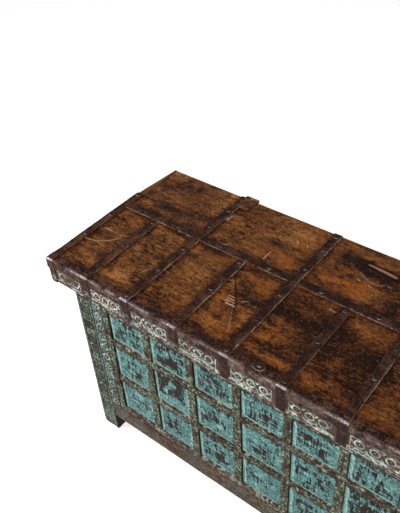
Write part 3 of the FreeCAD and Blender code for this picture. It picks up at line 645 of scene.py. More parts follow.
def painted(name, turn, paint, second, wood, dirt_colour, coat=0.0, wear=0.0, dirt=0.0,
            wear_by=(), dirt_and_shade_by=(), coat_by=(), roughness=0.62, flecks=1.0, size=1.0):
    """Material in old paint. wear_by, the dirt pairs and coat_by are (vertex value, weight) pairs; the dirt
    pairs also lay painted shade where a value stands for shade.
    """
    material, t = new_finish(name)
    given = {socket: t.weighted(base, *[(t.field(key), weight) for key, weight in pairs])
             for socket, base, pairs in (("Wear", wear, wear_by), ("Dirt", dirt, dirt_and_shade_by),
                                         ("Second Coat", coat, coat_by))}
    given |= {"Vector": t.stretch(t.space(turn), (size, size, size)), "Paint": paint, "Second Paint": second,
              "Wood": wood, "Dirt Colour": dirt_colour, "Flecks": flecks}
    coats = t.add("Group", given, node_tree=old_paint)
    t.surface(coats["Color"], t.spread(coats["Bare"], 0.0, 1.0, roughness, 0.75), 0.12,
              coats["Height"], 0.5, 0.0009)
    return material


fascia_paint = painted("carved_fascia_paint", ALONG_X, (0.80, 0.80, 0.69), (0.43, 0.585, 0.52),
                       (0.13, 0.075, 0.05), (0.080, 0.045, 0.032), coat=-0.30, wear=-0.06, dirt=0.36,
                       wear_by=(("edge", 0.12), ("below", 0.26), ("dash", 0.3), ("behind", 0.4)),
                       dirt_and_shade_by=(("carve", -0.48), ("below", 0.10), ("margin", 0.40)),
                       coat_by=(("turquoise", 1.0),), flecks=0.85)
front = slab(*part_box("fascia_front"), "front", (0.0014, 0.0013), 0.0022, carved_fascia)
new_piece("carved_fascia", [front], fascia_paint, "fascia_paint", "lid", "fascia_front")

end_fascia_paint = painted("end_fascia_paint", ALONG_Y, (0.10, 0.17, 0.15), (0.20, 0.29, 0.25),
                           (0.26, 0.105, 0.030), (0.06, 0.022, 0.010), coat=-0.1, dirt=-0.1,
                           wear_by=(("edge", 0.7), ("behind", 0.7), ("below", 0.2)),
                           dirt_and_shade_by=(("carve", -0.1),))
for side in ("left", "right"):
    board = slab(*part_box("fascia_" + side), side, (0.004, 0.003), 0.0022, plain_fascia)
    new_piece("end_fascia_" + side, [board], end_fascia_paint, "fascia_paint", "lid", "fascia_" + side)


# ---------------------------------------------------------------- straps and binding
# Hand-forged bands of iron, 3 mm thick, nailed over the lid and folded over its front edge. The
# binding under them is a thinner angle iron. All are nearly black with old wax, darker on one side
# as painted shade, rubbed at the folds under a painted glint, and showing a pale line along one
# edge that is partly wear and partly painted highlight.
arris = 0.004
bind_thick, bind_top, bind_face = 0.002, 0.027, 0.034
strap_thick = 0.003
bend_run, bend_gap = 0.005, 0.0005
strap_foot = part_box("fascia_front")[0].z
lid_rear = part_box("lid_plank_rear")[1].y


def along(corners, step):
    """Points at even steps along straight runs between corners."""
    corners = np.array(corners, float)
    length = np.concatenate([[0], np.cumsum(np.linalg.norm(np.diff(corners, axis=0), axis=1))])
    at = np.linspace(0, length[-1], int(round(length[-1] / step)) + 1)
    return np.stack([np.interp(at, length, corners[:, i]) for i in range(corners.shape[1])], 1)


def quarter_turn(centre_y, centre_z, radius):
    """Points of the rounded fold, from its top round to its front."""
    turns = np.linspace(0, QUARTER, 9)
    return [(centre_y - radius * math.sin(a), centre_z + radius * math.cos(a)) for a in turns]


def carried(path, side, out, ring):
    """Closed profile carried along a path: path + ring's first value * side + second * out."""
    side, out = (np.broadcast_to(np.asarray(axis, float), path.shape) for axis in (side, out))
    if ring.ndim == 2:
        ring = np.broadcast_to(ring, (len(path), *ring.shape))
    points = path[:, None] + ring[..., :1] * side[:, None] + ring[..., 1:] * out[:, None]
    index = np.arange(points[..., 0].size).reshape(points.shape[:2])
    right = np.roll(index, -1, 1)
    quads = np.stack([index[:-1], index[1:], right[1:], right[:-1]], -1).reshape(-1, 4)
    return points, quads, [index[0], index[-1][::-1]]


def line_noise(s, size, seed, lane=0):
    """Smooth random values in -1..1 along a band."""
    return soft_noise(s, 0 * s + lane, size, seed)


def band_ring(s, half, seed, uneven=0.0007):
    """Profile of a forged band at each place s along it: crowned top, eased and uneven edges."""
    ease = 0.0011
    left = [(-1, -strap_thick), *[(-1 + ease / half * (1 - math.cos(a)), -ease * (1 - math.sin(a)))
                                  for a in np.linspace(0, QUARTER, 4)]]
    u, w = np.array([*left, *[(u, 0.0) for u in (-0.75, -0.45, -0.15, 0.15, 0.45, 0.75)],
                     *[(-u, w) for u, w in left[::-1]]]).T
    s = s[:, None]
    shift = np.where(u < 0, line_noise(s, 0.035, seed), line_noise(s, 0.035, seed, 9)) * uneven
    shift = shift + np.where(u < 0, 1, -1) * 0.0003 * line_noise(s, 0.011, seed, 5)
    aside = u * half
    dents = 0.00045 * soft_noise(s, aside, 0.013, seed + 1) + 0.0003 * soft_noise(s, aside, 0.03, seed + 2)
    lower = (w > -ease * 1.01) * (-0.0006 * u * u + dents - 0.0004)
    ring = np.stack([aside + shift, w + lower], -1)
    return ring, np.broadcast_to(u, ring.shape[:2])


def iron_fields(like, **values):
    """What the iron's material reads: pale edge (partly painted highlight), rubbing with a painted glint,
    paint residue, brown wax, black wax with painted shade.
    """
    return {key: np.broadcast_to(values.get(key, 0.0), like.shape)
            for key in ("across", "fold", "drop", "waxy", "shade")}


def strap_path(run, climbs):
    """Middle of a cross strap's upper face, as (y, z).

    It goes along the lid, over what it crosses, round the fold and down the fascia.
    """
    top = lid_top + strap_thick
    path = [(lid_front + run, top)]
    if climbs:
        low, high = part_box("long_strap")
        path += [(high.y + 0.0055, top), (high.y + bend_gap, top + strap_thick),
                 (low.y - bend_gap, top + strap_thick), (low.y - 0.0055, top)]
    ledge = lid_front + bind_top + bend_gap
    radius = arris + strap_thick
    face = lid_front - bind_thick - strap_thick
    path += [(ledge + bend_run, top), (ledge, top + bind_thick)]
    path += quarter_turn(face + radius, top + bind_thick - radius, radius)
    leg = lid_top - bind_face - bend_gap
    path += [(face, leg), (lid_front - strap_thick, leg - bend_run),
             (lid_front - strap_thick, strap_foot + 0.0004)]
    points = along(path, 0.0025)
    inner = np.stack([np.convolve(np.pad(points[:, i], 1, "edge"), [0.25, 0.5, 0.25], "valid")
                      for i in (0, 1)], 1)
    inner[0], inner[-1] = points[0], points[-1]
    return inner


def cross_band(x, half, path, seed):
    """Band whose middle follows (y, z) points at one x."""
    step = np.gradient(path, axis=0)
    step /= np.linalg.norm(step, axis=1)[:, None]
    s = np.cumsum(np.concatenate([[0], np.linalg.norm(np.diff(path, axis=0), axis=1)])) + 3.1 * seed
    ring, u = band_ring(s, half, seed)
    out = np.stack([np.zeros(len(path)), step[:, 1], -step[:, 0]], 1)
    middle = np.stack([np.full(len(path), x), path[:, 0], path[:, 1]], 1)
    y, z = middle[:, 1:2], middle[:, 2:]
    # A painted glint over rubbed iron at the front arris.
    fold = np.exp(-((y - lid_front + 0.002) / 0.0036) ** 2 - ((z - lid_top - 0.003) / 0.0036) ** 2)
    drop = (y < lid_front) * ramp(0.822 - z, 0.03)
    drop = drop * np.interp(x, [-0.55, -0.35, -0.18, 0.0], [1.0, 0.95, 0.70, 0.12])
    waxy = np.interp(x, [-0.69, -0.64, -0.4, -0.1], [0.25, 0.25, 0.1, 0.0])
    # The pale line along the strap's +X edge is partly wear and partly painted highlight; the two spots add
    # painted highlight.
    edge_wear_and_glint = 0.5 + 0.9 * line_noise(s, 0.035, seed + 7)
    for spot_x, spot_y in ((-0.365, 0.176), (-0.004, 0.125)):
        edge_wear_and_glint += (abs(x - spot_x) < 0.01) * bell(path[:, 0] - lid_front - spot_y, 0.03)
    edge_wear_and_glint = np.clip(edge_wear_and_glint, 0, 1.3)[:, None]
    pale_edge = ramp(u - 0.90 + 0.14 * edge_wear_and_glint, 0.10) * (0.50 + 0.75 * edge_wear_and_glint)
    pale_edge = pale_edge * np.interp(x, [-0.69, -0.6, -0.35, -0.17, 0.0, 0.2],
                                      [0.0, 0.45, 0.75, 1.0, 1.0, 0.55])
    pale_edge = pale_edge * np.clip((y - lid_front) / 0.01, 0.15, 1)
    # Painted shade: the strap's -X side and its edge line there are darker; the drops near the middle are
    # darkened too.
    shade = highest(ramp(0.30 + 0.35 * np.interp(x, [0.05, 0.18], [0, 1]) - u, 0.5),
                    (y < lid_front) * np.interp(x, [-0.2, 0.0], [0.0, 2.2]), 1.2 * ramp(-0.78 - u, 0.10))
    fields = iron_fields(u, across=pale_edge, fold=fold, drop=drop, waxy=waxy, shade=shade)
    return (*carried(middle, (1, 0, 0), out, ring), fields)


def iron_material(name, dark, light, rubbed, pale, line, soft):
    """Waxed old iron: dark with lighter blotches, black wax with painted shade, rubbed folds with a painted
    glint, and a pale line on one edge that is partly painted highlight.
    """
    material, t = new_finish(name)
    space = t.space()
    blotch = t.noise(space, 24.0, 7.0, 0.68, 0.3)
    speck = t.noise(space, 150.0, 4.0, 0.7)
    rust = t.noise(space, 240.0, 3.0, 0.65)
    tone = t.weighted(0.0, (blotch, 0.55), (speck, 0.45))
    colour = t.blend(t.spread(tone, 0.515 - soft, 0.515 + soft), dark, light)
    brown_wax = t.blend(t.spread(tone, 0.40, 0.56), waxed_dark, (0.30, 0.125, 0.040))
    # Black wax and painted shade: the shade field darkens the side of the iron away from the light.
    wax_and_painted_shade = t.times(t.field("shade"), t.spread(blotch, 0.38, 0.60, 0.95, 0.25))
    fold = t.times(t.field("fold"), t.spread(speck, 0.30, 0.60))
    broken = t.spread(t.noise(space, 90.0, 5.0, 0.8), 0.44, 0.54, 0.08, 1.0)
    drop = t.field("drop")
    flecks = t.spread(t.noise(space, 110.0, 4.0, 0.7), 0.47, 0.57, 0.0, 0.85)
    residue = t.times(t.spread(drop, 0.3, 1.0), flecks)
    # fold lays a painted glint over rubbed iron; across lays the pale edge line, partly painted highlight.
    for amount, over in ((t.field("waxy"), brown_wax),
                         (wax_and_painted_shade, (0.014, 0.0070, 0.006)),
                         (t.spread(rust, 0.53, 0.63, 0.0, 0.60), (0.16, 0.060, 0.028)),
                         (t.spread(rust, 0.38, 0.47, 0.65, 0.0), dark),
                         (fold, rubbed),
                         (t.times(t.times(t.field("across"), broken), line), pale),
                         (t.spread(drop, 0.0, 0.4, 0.0, 0.45), dark),
                         (residue, (0.27, 0.30, 0.25))):
        colour = t.blend(amount, colour, over)
    t.surface(colour, t.spread(t.math("ADD", tone, fold), 0.35, 1.1, 0.62, 0.38), 0.07,
              t.math("ADD", t.times(blotch, 0.7), t.times(speck, 0.45)), 0.8, 0.0014, Metallic=fold)
    return material


strap_iron = iron_material("waxed_strap_iron", (0.020, 0.0082, 0.0056), (0.098, 0.045, 0.032),
                           (0.72, 0.64, 0.65), (0.30, 0.21, 0.16), 1.0, 0.065)
binding_iron = iron_material("rubbed_binding_iron", (0.013, 0.0050, 0.0035), (0.132, 0.068, 0.051),
                             (0.36, 0.29, 0.28), (0.25, 0.185, 0.165), 0.85, 0.042)


def iron_piece(node, shapes, body="lid", name=None, material=strap_iron):
    """Piece in iron, called after its node where no other name is given."""
    new_piece(name or node + "_forged", shapes, material, "strap_iron", body, node)


places = strap_places()
strap_seed = 31
for i, (node, (x, end)) in enumerate(zip(strap_nodes, places)):
    if "hinge" not in node:
        path = strap_path(end - lid_front, "short" not in node)
        iron_piece(node, [cross_band(x, strap_half, path, strap_seed + 3 * i)])


def lengthwise_band(low, high, seed):
    """The long strap: a band along X, slightly crowned."""
    x = along([(low.x + 0.0004,), (high.x - 0.0004,)], 0.003)[:, 0]
    ring, u = band_ring(x, (high.y - low.y) / 2 - 0.0003, seed, 0.0003)
    middle = np.stack([x, np.full(len(x), (low.y + high.y) / 2), np.full(len(x), high.z)], 1)
    far_left = np.interp(x, [-0.60, -0.30], [1.0, 0.0])[:, None]
    # Painted light and shade: the front edge carries the pale line, partly wear and partly painted highlight,
    # and the rear of the band is painted darker as shade.
    pale_edge = ramp(u - 0.87 + 0.06 * far_left, 0.10) * (1 + 0.25 * far_left)
    pale_edge = pale_edge * unit(0.80 + 0.5 * line_noise(x, 0.03, seed + 5))[:, None]
    fields = iron_fields(u, across=pale_edge, waxy=0.15 * far_left,
                         shade=ramp(0.75 - 0.60 * far_left - u, 0.5))
    return (*carried(middle, (0, -1, 0), (0, 0, 1), ring), fields)


iron_piece("long_strap", [lengthwise_band(*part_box("long_strap"), 61)])


def angle_band(low, high, seed):
    """The binding: an L profile along X with a round corner, dented, its free edges wavy."""
    x = along([(low.x,), (high.x,)], 0.003)[:, 0]
    t, foot = bind_thick, lid_top - bind_face
    outer = [(lid_front + bind_top, lid_top + t - 0.0007), (lid_front + bind_top - 0.0006, lid_top + t)]
    outer += [(lid_front + y, lid_top + t) for y in (0.020, 0.014, 0.008)]
    outer += quarter_turn(lid_front - t + arris, lid_top + t - arris, arris)
    outer += [(lid_front - t, lid_top - z) for z in (0.008, 0.014, 0.020, 0.027, bind_face - 0.0007)]
    outer += [(lid_front - t + 0.0006, foot)]
    y, z = np.array([*outer, (lid_front, foot), (lid_front, lid_top), (lid_front + bind_top, lid_top)]).T
    run = np.cumsum(np.concatenate([[0], np.hypot(np.diff(y), np.diff(z))]))
    a, b = x[:, None], run[None, :]
    outside = np.arange(len(y)) < len(outer)
    dent = 0.00045 * soft_noise(a, b, 0.017, seed) + 0.0003 * soft_noise(a, b, 0.04, seed + 1) - 0.00045
    free_edge = np.exp(-(b - run[len(outer) - 1]) ** 2 / 0.002 ** 2) * 0.0007 * line_noise(a, 0.03, seed + 2)
    back_edge = np.exp(-b ** 2 / 0.002 ** 2) * 0.0007 * (line_noise(a, 0.03, seed + 2, 3) - 1.0)
    ring_y = y - outside * dent * ramp(lid_front + 0.001 - y, 0.003) + back_edge * outside
    ring_z = z + outside * dent * ramp(z - lid_top + 0.001, 0.003) + np.abs(free_edge) * outside
    # Painted light and shade on the binding: a glint over rubbed iron at the fold, shade along the top's rear
    # edge and towards the face's foot, and the face painted lighter near the fold, fading downwards.
    bend = np.exp(-((y - lid_front) / 0.0038) ** 2 - ((z - lid_top) / 0.0038) ** 2)[None, :]
    rub_and_glint = unit(bend * (0.42 + 1.00 * line_noise(a, 0.035, seed + 3)))
    down = ramp(lid_top - z, bind_face)
    shade = unit(1.15 - b / 0.024) + outside * unit(0.25 + 0.75 * (down - 0.55) / 0.45) * (down > 0.05)
    face = ramp(lid_top - 0.001 - z, 0.004) * outside * np.clip(1.25 - 0.85 * down, 0, 1.1)
    face = face * np.clip(0.50 + 0.80 * soft_noise(a, b, 0.014, seed + 4), 0, 1.1)
    face = face * np.interp(a, [-0.50, -0.34, -0.20, 0.0], [0.20, 0.80, 1.0, 1.0])
    middle = np.stack([x, 0 * x, 0 * x], 1)
    return (*carried(middle, (0, 1, 0), (0, 0, 1), np.stack([ring_y, ring_z], -1)),
            iron_fields(ring_y, across=face, fold=rub_and_glint * outside, shade=shade))


iron_piece("front_binding", [angle_band(*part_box("front_binding"), 71)], name="binding_forged",
           material=binding_iron)


def end_plate(sign, rear, seed):
    """Side leg of an end strap: a band along Y on the lid's end, as high at each y as the iron
    on top is there, and rounded at its front like the fold."""
    front, lower = lid_front - bind_thick - strap_thick, lid_top - bind_face
    upper = lid_top + bind_thick + strap_thick
    half = (upper - lower) / 2
    y = along([(front + 0.0002,), (rear,)], 0.003)[:, 0]
    ring, u = band_ring(y, half, seed)
    middle = np.stack([np.full(len(y), sign * (strap_thick - lid_left)), y, np.full(len(y), lower + half)], 1)
    points, quads, rings = carried(middle, (0, 0, 1), (sign, 0, 0), ring)
    ledge = lid_front + bind_top
    crest = np.interp(y, [ledge, ledge + 0.0055], [upper, upper - bind_thick])[:, None]
    radius = arris + strap_thick
    inside = np.clip(front + radius - y, 0, radius)[:, None]
    crest = np.minimum(crest, upper - radius + np.sqrt(radius ** 2 - inside ** 2) + 1e-5)
    points[..., 2] = lower + (points[..., 2] - lower) * (crest - lower) / (upper - lower)
    # A painted glint along the plate's top edge, as at the folds.
    return points, quads, rings, iron_fields(u, fold=0.7 * bell(points[..., 2] - crest, 0.003), waxy=0.3)


end_strap_half = 0.0125
for side, sign in (("left", -1), ("right", 1)):
    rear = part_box("end_strap_" + side)[1].y
    over = cross_band(sign * (-lid_left - end_strap_half), end_strap_half,
                      strap_path(rear - lid_front, False), 81 + sign)
    iron_piece("end_strap_" + side, [over, end_plate(sign, rear, 85 + sign)], name="end_strap_forged_" + side)


# ---------------------------------------------------------------- nails and boss
# Hand-made iron nails with low domed heads, driven through the straps, the binding and the hinge
# plates. One larger boss stands on the binding: a nail in the middle of a shallow dish.
def turned_heads(profile, seats, inward, seed, around=14):
    """Closed heads turned from one profile of (radius, height), one standing on each seat.

    Each is the profile at even angles round its axis; random oval, tilt and size differ a little.
    The profile's third value is how much painted highlight each circle carries on its near side.
    """
    rng = np.random.default_rng(seed)
    seats = np.array(seats, float)
    n = len(seats)
    w = -np.asarray(inward, float)
    u = np.cross(w, (0.0, 1.0, 0.0) if abs(w[1]) < 0.5 else (0.0, 0.0, 1.0))
    v = np.cross(w, u)
    angle = np.arange(around) / around * 2 * math.pi
    radius, height, lit = np.array(profile).T[..., None]
    oval = 1 - 0.10 * rng.uniform(0, 1, (n, 1, 1)) * np.cos(angle - rng.uniform(0, math.pi, (n, 1, 1))) ** 2
    size = 1 - 0.08 * rng.uniform(0, 1, (n, 1, 1))
    lean = rng.uniform(-0.07, 0.07, (n, 2, 1, 1))
    a, b = (radius * wave(angle) * oval * size for wave in (np.cos, np.sin))
    lump = 1 - 0.10 * rng.uniform(0, 1, (n, len(radius), around)) * (radius > 0.001)
    h = height * lump * size + (a * lean[:, 0] + b * lean[:, 1]) * (height > 1e-6)
    points = seats[:, None, None] + a[..., None] * u + b[..., None] * v + h[..., None] * w
    index = np.arange(a.size).reshape(a.shape)
    right = np.roll(index, -1, 2)
    quads = np.stack([index[:, :-1], right[:, :-1], right[:, 1:], index[:, 1:]], -1).reshape(-1, 4)
    rings = [ring for head in index for ring in (head[0][::-1], head[-1])]
    tone = np.broadcast_to(rng.uniform(0, 1, (n, 1, 1)), a.shape)
    crown = np.broadcast_to(height / height.max(), a.shape)
    # Painted highlight: a crescent on the near side of each head, toward the front.
    near_side = unit(1.25 * np.where(w[2] > 0.5, 1.0, -1.0) * np.sin(angle) - 0.45 * np.cos(angle))
    crescent = near_side * lit * rng.uniform(0.25, 1, (n, 1, 1))
    return points, quads, rings, {"tone": tone, "crown": crown, "skirt": 1.0 - crown, "crescent": crescent}


def nail_rows(end):
    """Distances from the lid's front edge of the nails in a cross strap that ends there."""
    if end > 0.5:
        return [0.156, 0.276, 0.412, 0.515, 0.592]
    return [0.180, 0.322] if end < 0.4 else [0.156, 0.276, 0.412]


head_radius, head_height = 0.0070, 0.0035
# The third values place each head's painted highlight.
dome = [(head_radius * r, head_height * h, lit) for r, h, lit in
        ((1, 0, 0), (0.98, 0.20, 1), (0.90, 0.38, 0.7), (0.80, 0.60, 0.1), (0.62, 0.82, 0), (0.32, 0.97, 0),
         (0.07, 1, 0))]
dish = [(0.0182, 0.0, 0.0), (0.0186, 0.0010, 0.4), (0.0179, 0.0021, 1.0), (0.0165, 0.0022, 0.1),
        (0.0150, 0.0015, 0.0), (0.0110, 0.0009, 0.0), (0.0068, 0.0009, 0.0), (0.0064, 0.0017, 0.3),
        (0.0055, 0.0038, 1.0), (0.0042, 0.0052, 0.0), (0.0024, 0.0059, 0.0), (0.0006, 0.0060, 0.0)]
down, backward, forward = (0, 0, -1), (0, 1, 0), (0, -1, 0)
strap_nail_z = lid_top + strap_thick - 0.0004
binding_nail_y, binding_nail_drop = 0.016, 0.018
long_strap_nail_y = 0.352
end_strap_nail_x, end_strap_nail_end = 0.6825, 0.425
plate_nail_x, plate_nail_insets = 0.037, (0.011, 0.044)
boss_seat = (0.0975, lid_front + 0.022, lid_top + bind_thick - 0.0002)
# Each hinge's side, its strap's place in the row, and which way along X its knuckles stand.
hinge_sides = (("left", 1, 1), ("right", 5, -1))

seats = []
for x, end in places:
    seats += [(x, lid_front + y, strap_nail_z) for y in nail_rows(end - lid_front)]
    seats.append((x, lid_front + binding_nail_y, strap_nail_z + bind_thick))
xs = [x for x, _ in places]
bays = [(xs[0] + lid_left) / 2] + [(a + b) / 2 for a, b in zip(xs[:-1], xs[1:])] + [(xs[-1] - lid_left) / 2]
seats += [(x, lid_front + long_strap_nail_y, strap_nail_z) for x in bays]
seats += [(sign * end_strap_nail_x, lid_front + y, strap_nail_z)
          for sign in (-1, 1) for y in nail_rows(end_strap_nail_end)]
seats += [(xs[k] + sign * plate_nail_x, lid_rear - inset, strap_nail_z)
          for _, k, sign in hinge_sides for inset in plate_nail_insets]
face_seats = [(x, lid_front - bind_thick + 0.0003, lid_top - binding_nail_drop) for x in bays]

nail_iron, t = new_finish("nail_head_iron")
speck = t.noise(t.space(), 220.0, 4.0, 0.7)
tone = t.math("ADD", t.times(speck, 0.7), t.times(t.field("tone"), 0.3))
colour = t.blend(t.spread(tone, 0.35, 0.75), (0.020, 0.009, 0.006), (0.064, 0.032, 0.023))
# Painted highlight: a spot on the crown of some heads and the crescent on their near side, partly over rubbed
# metal.
rub_and_glint = t.times(t.spread(t.field("crown"), 0.85, 1.0), t.spread(tone, 0.60, 0.80, 0.0, 0.25))
rub_and_glint = t.math("MAXIMUM", rub_and_glint, t.field("crescent"))
colour = t.blend(rub_and_glint, colour, (0.44, 0.38, 0.39))
colour = t.blend(t.spread(t.field("skirt"), 0.80, 1.0), colour, (0.014, 0.008, 0.006))
t.surface(colour, 0.50, 0.12, speck, 0.5, 0.0006, Metallic=t.times(rub_and_glint, 0.2))

heads = [turned_heads(dome, seats, down, 91), turned_heads(dome, face_seats, backward, 92),
         turned_heads(dish, [boss_seat], down, 93, around=28)]
new_piece("lid_nail_heads", heads, nail_iron, "nail_iron", "lid", "lid_nails", sharp=50.0)


# ---------------------------------------------------------------- hinges
# Two of the full straps widen at the rear and are rolled round a pin. A leaf nailed down the
# chest's back has the middle knuckle of each barrel.
axis_y, axis_z = 0.308, 0.8555
knuckle_radius, knuckle_length, knuckle_gap = 0.0075, 0.016, 0.0004
pin_radius, pin_ease = 0.0035, 0.0008
plate_depth = 0.055
leaf_nail_foot, leaf_nail_pitch = 0.7205, 0.045


def barrel(x0, x1):
    """A knuckle: a short tube about the hinge pin's line, as a ring carried there and back."""
    around, inner, ease = 28, 0.0036, 0.0008
    angle = np.arange(around) / around * 2 * math.pi
    x, r = np.array([(x0, inner), (x0, knuckle_radius - ease), (x0 + ease, knuckle_radius),
                     (x1 - ease, knuckle_radius), (x1, knuckle_radius - ease), (x1, inner)]).T[..., None]
    points = np.stack(np.broadcast_arrays(x, axis_y + r * np.cos(angle), axis_z + r * np.sin(angle)), -1)
    index = np.arange(6 * around).reshape(6, around)
    right, below = np.roll(index, -1, 1), np.roll(index, -1, 0)
    quads = np.stack([index, right, np.roll(right, -1, 0), below], -1).reshape(-1, 4)
    return points, quads, [], iron_fields(index, fold=0.15, waxy=0.8)


def iron_plate(low, high, facing, ease, relief=None, rubbed=0.0, waxy=0.3):
    """Flat piece of iron, rubbed towards its edges."""
    points, quads, rings, fields = slab(low, high, facing, (0.003, 0.003), ease, relief)
    return points, quads, rings, iron_fields(fields["edge"], fold=rubbed * fields["edge"], waxy=waxy)


def beaten(depth, seed, down_axis):
    """Relief of a beaten iron plate: shallow dents."""
    return lambda p: (depth + 0.0003 * soft_noise(p[..., 0], p[..., down_axis], 0.012, seed), {})


for side, k, sign in hinge_sides:
    x, end = places[k]
    path = strap_path(lid_rear - lid_front, True)
    path = np.concatenate([along([(axis_y, lid_top + strap_thick), tuple(path[0])], 0.0025)[:-1], path])
    band = cross_band(x, strap_half, path, strap_seed + 3 * k)
    band_x = band[0][..., 0]
    band_x[(band[0][..., 1] > lid_rear) & ((band_x - x) * sign < 0)] = x
    across = sorted((x, x + sign * 3 * knuckle_length))
    shapes = [band, iron_plate((across[0], lid_rear - plate_depth, lid_top),
                               (across[1], lid_rear, lid_top + strap_thick - 0.0003),
                               "top", 0.0010, beaten(0.0003, 97, 1), waxy=0.65)]
    for a in (0, 2):
        x0, x1 = sorted((x + sign * a * knuckle_length, x + sign * (a + 1) * knuckle_length))
        x0 += knuckle_gap if (a == 2) == (sign > 0) else 0.0
        x1 -= knuckle_gap if (a == 0) == (sign > 0) else 0.0
        shapes += [barrel(x0, x1),
                   iron_plate((x0, lid_rear - 0.002, lid_top + 0.0002),
                              (x1, axis_y, lid_top + strap_thick - 0.0002), "top", 0.0008, waxy=0.8)]
    iron_piece("hinge_strap_" + side, shapes)

for side, k, sign in hinge_sides:
    low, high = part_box("hinge_leaf_" + side)
    top = axis_z - knuckle_radius - knuckle_gap
    middle = sorted((xs[k] + sign * knuckle_length, xs[k] + sign * 2 * knuckle_length))
    shapes = [iron_plate((x0, low.y, z0), (x1, low.y + strap_thick, z1), "back", 0.0010,
                         beaten(0.0002, 98, 2), rubbed=0.3)
              for x0, x1, z0, z1 in ((low.x, high.x, low.z, top), (*middle, top - 0.002, axis_z))]
    iron_piece("hinge_leaf_" + side, [*shapes, barrel(*middle)], body="body")
    pin_node = "hinge_pin_" + side
    pin_low, pin_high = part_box(pin_node)
    angle = np.arange(20) / 20 * 2 * math.pi
    pin_ring = np.stack([pin_radius * np.cos(angle), pin_radius * np.sin(angle)], 1)
    pin_x = [pin_low.x, pin_low.x + pin_ease, pin_high.x - pin_ease, pin_high.x]
    pin_path = np.array([(x, axis_y, axis_z) for x in pin_x])
    pin = carried(pin_path, (0, 1, 0), (0, 0, 1), pin_ring * np.array([0.75, 1.0, 1.0, 0.75])[:, None, None])
    wear = {key: np.full(pin[0].shape[:2], value)
            for key, value in (("tone", 0.5), ("crown", 0.6), ("skirt", 0.0), ("crescent", 0.0))}
    new_piece(pin_node + "_turned", [(*pin, wear)], nail_iron, "nail_iron", "body", pin_node)

leaf_seats = [(xs[k] + sign * 1.5 * knuckle_length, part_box("hinge_leaf_left")[0].y + strap_thick - 0.0002,
               leaf_nail_foot + leaf_nail_pitch * i) for _, k, sign in hinge_sides for i in range(3)]
new_piece("leaf_nail_heads", [turned_heads(dome, leaf_seats, forward, 94)], nail_iron, "nail_iron", "body",
          "leaf_nails", sharp=50.0)


# ---------------------------------------------------------------- corner posts
# Square posts that run down to the floor as feet. The front pair are carved down their faces
# with ring flowers and leaves between two cut lines, under dark green-grey paint worn to wood.
post_middle, post_flower_z, post_step = 0.6185, 0.745, 0.072
carving_half, carving_foot, carving_head = 0.0245, 0.11, 0.79


def flower_chain(z, start, step):
    """Height above the nearest flower of a row at even steps, and above the middle between two."""
    turns = (z - start) / step
    return (turns - np.round(turns)) * step, (turns - np.floor(turns) - 0.5) * step


def carved_post(points):
    """Cut lines down both sides, flowers at even steps down the middle, leaves between them."""
    x, z = points[..., 0], points[..., 2]
    dx = np.abs(x) - post_middle
    near, between = flower_chain(z, post_flower_z, post_step)
    flower = ring_flower(dx, near, 0.0190)
    leaves = [leaf(dx - side * 0.0105, between, 0.015, 0.0050, side * 1.2) for side in (-1, 1)]
    leaves += [leaf(dx - side * 0.0165, between + lift * 0.02, 0.010, 0.0035, -lift * side * 0.9)
               for side in (-1, 1) for lift in (-1, 1)]
    high = highest(flower, 0.9 * bell(np.hypot(dx, between) - 0.0065, 0.0022), *leaves)
    inside = ramp(carving_half - np.abs(dx), 0.0012) * ramp(z - carving_foot, 0.0012)
    inside = inside * ramp(carving_head - z, 0.0012)
    soften = 0.65 + 0.4 * soft_noise(x, z, 0.025, 101)
    carve = 1.0 - inside * (1 - unit(high * soften))
    worn_foot = 0.003 * np.exp(-z / 0.02) * (1 + soft_noise(x, z, 0.02, 102))
    depth = 0.0022 * (1 - carve) + 0.0004 * (1 + soft_noise(x, z, 0.05, 103)) + worn_foot
    # Painted shade down the post's inner side, next to the stile.
    inner_side = ramp(np.abs(x).min() + 0.0015 - np.abs(x), 0.0012)
    return depth, {"carve": carve, "bright": unit(flower * soften), "shady": inner_side}


def hewn(seed, along_axis=0, amount=0.0005):
    """Relief of a plain hewn face: long low waves, with the same fields as a carved one."""
    def relief(points):
        first, second = (points[..., k] for k in range(3) if k != along_axis)
        a, b = points[..., along_axis], first + second
        wave = soft_noise(a / 3.0, b, 0.03, seed) + 0.4 * soft_noise(a, b, 0.014, seed + 1)
        return amount * (1.3 + wave), {"carve": 1 + 0 * a, "bright": 0 * a}
    return relief


post_paint = painted("worn_post_paint", ALONG_Z, (0.105, 0.135, 0.105), (0.33, 0.42, 0.35),
                     (0.065, 0.042, 0.030), (0.018, 0.013, 0.010), coat=-0.20, wear=-0.04, dirt=0.21,
                     wear_by=(("edge", 0.12), ("behind", 0.08)),
                     dirt_and_shade_by=(("carve", -0.36), ("shady", 0.6)), coat_by=(("bright", 0.40),), roughness=0.7)
for side in ("left", "right"):
    front_post = slab(*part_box("post_front_" + side), "front", (0.0013, 0.0014), 0.003, carved_post)
    new_piece("carved_post_" + side, [front_post], post_paint, "frame_paint", "body", "post_front_" + side)
    back_post = slab(*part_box("post_back_" + side), "back", (0.004, 0.006), 0.003, hewn(105, 2))
    new_piece("back_post_" + side, [back_post], post_paint, "frame_paint", "body", "post_back_" + side)


# ---------------------------------------------------------------- carved stiles
# Upright boards beside the posts, carved with a chain of small ring flowers joined by slanting
# leaves. Pale turquoise, with red-brown wood in the low places.
stile_middle, stile_flower_z, stile_step = 0.5605, 0.690, 0.050


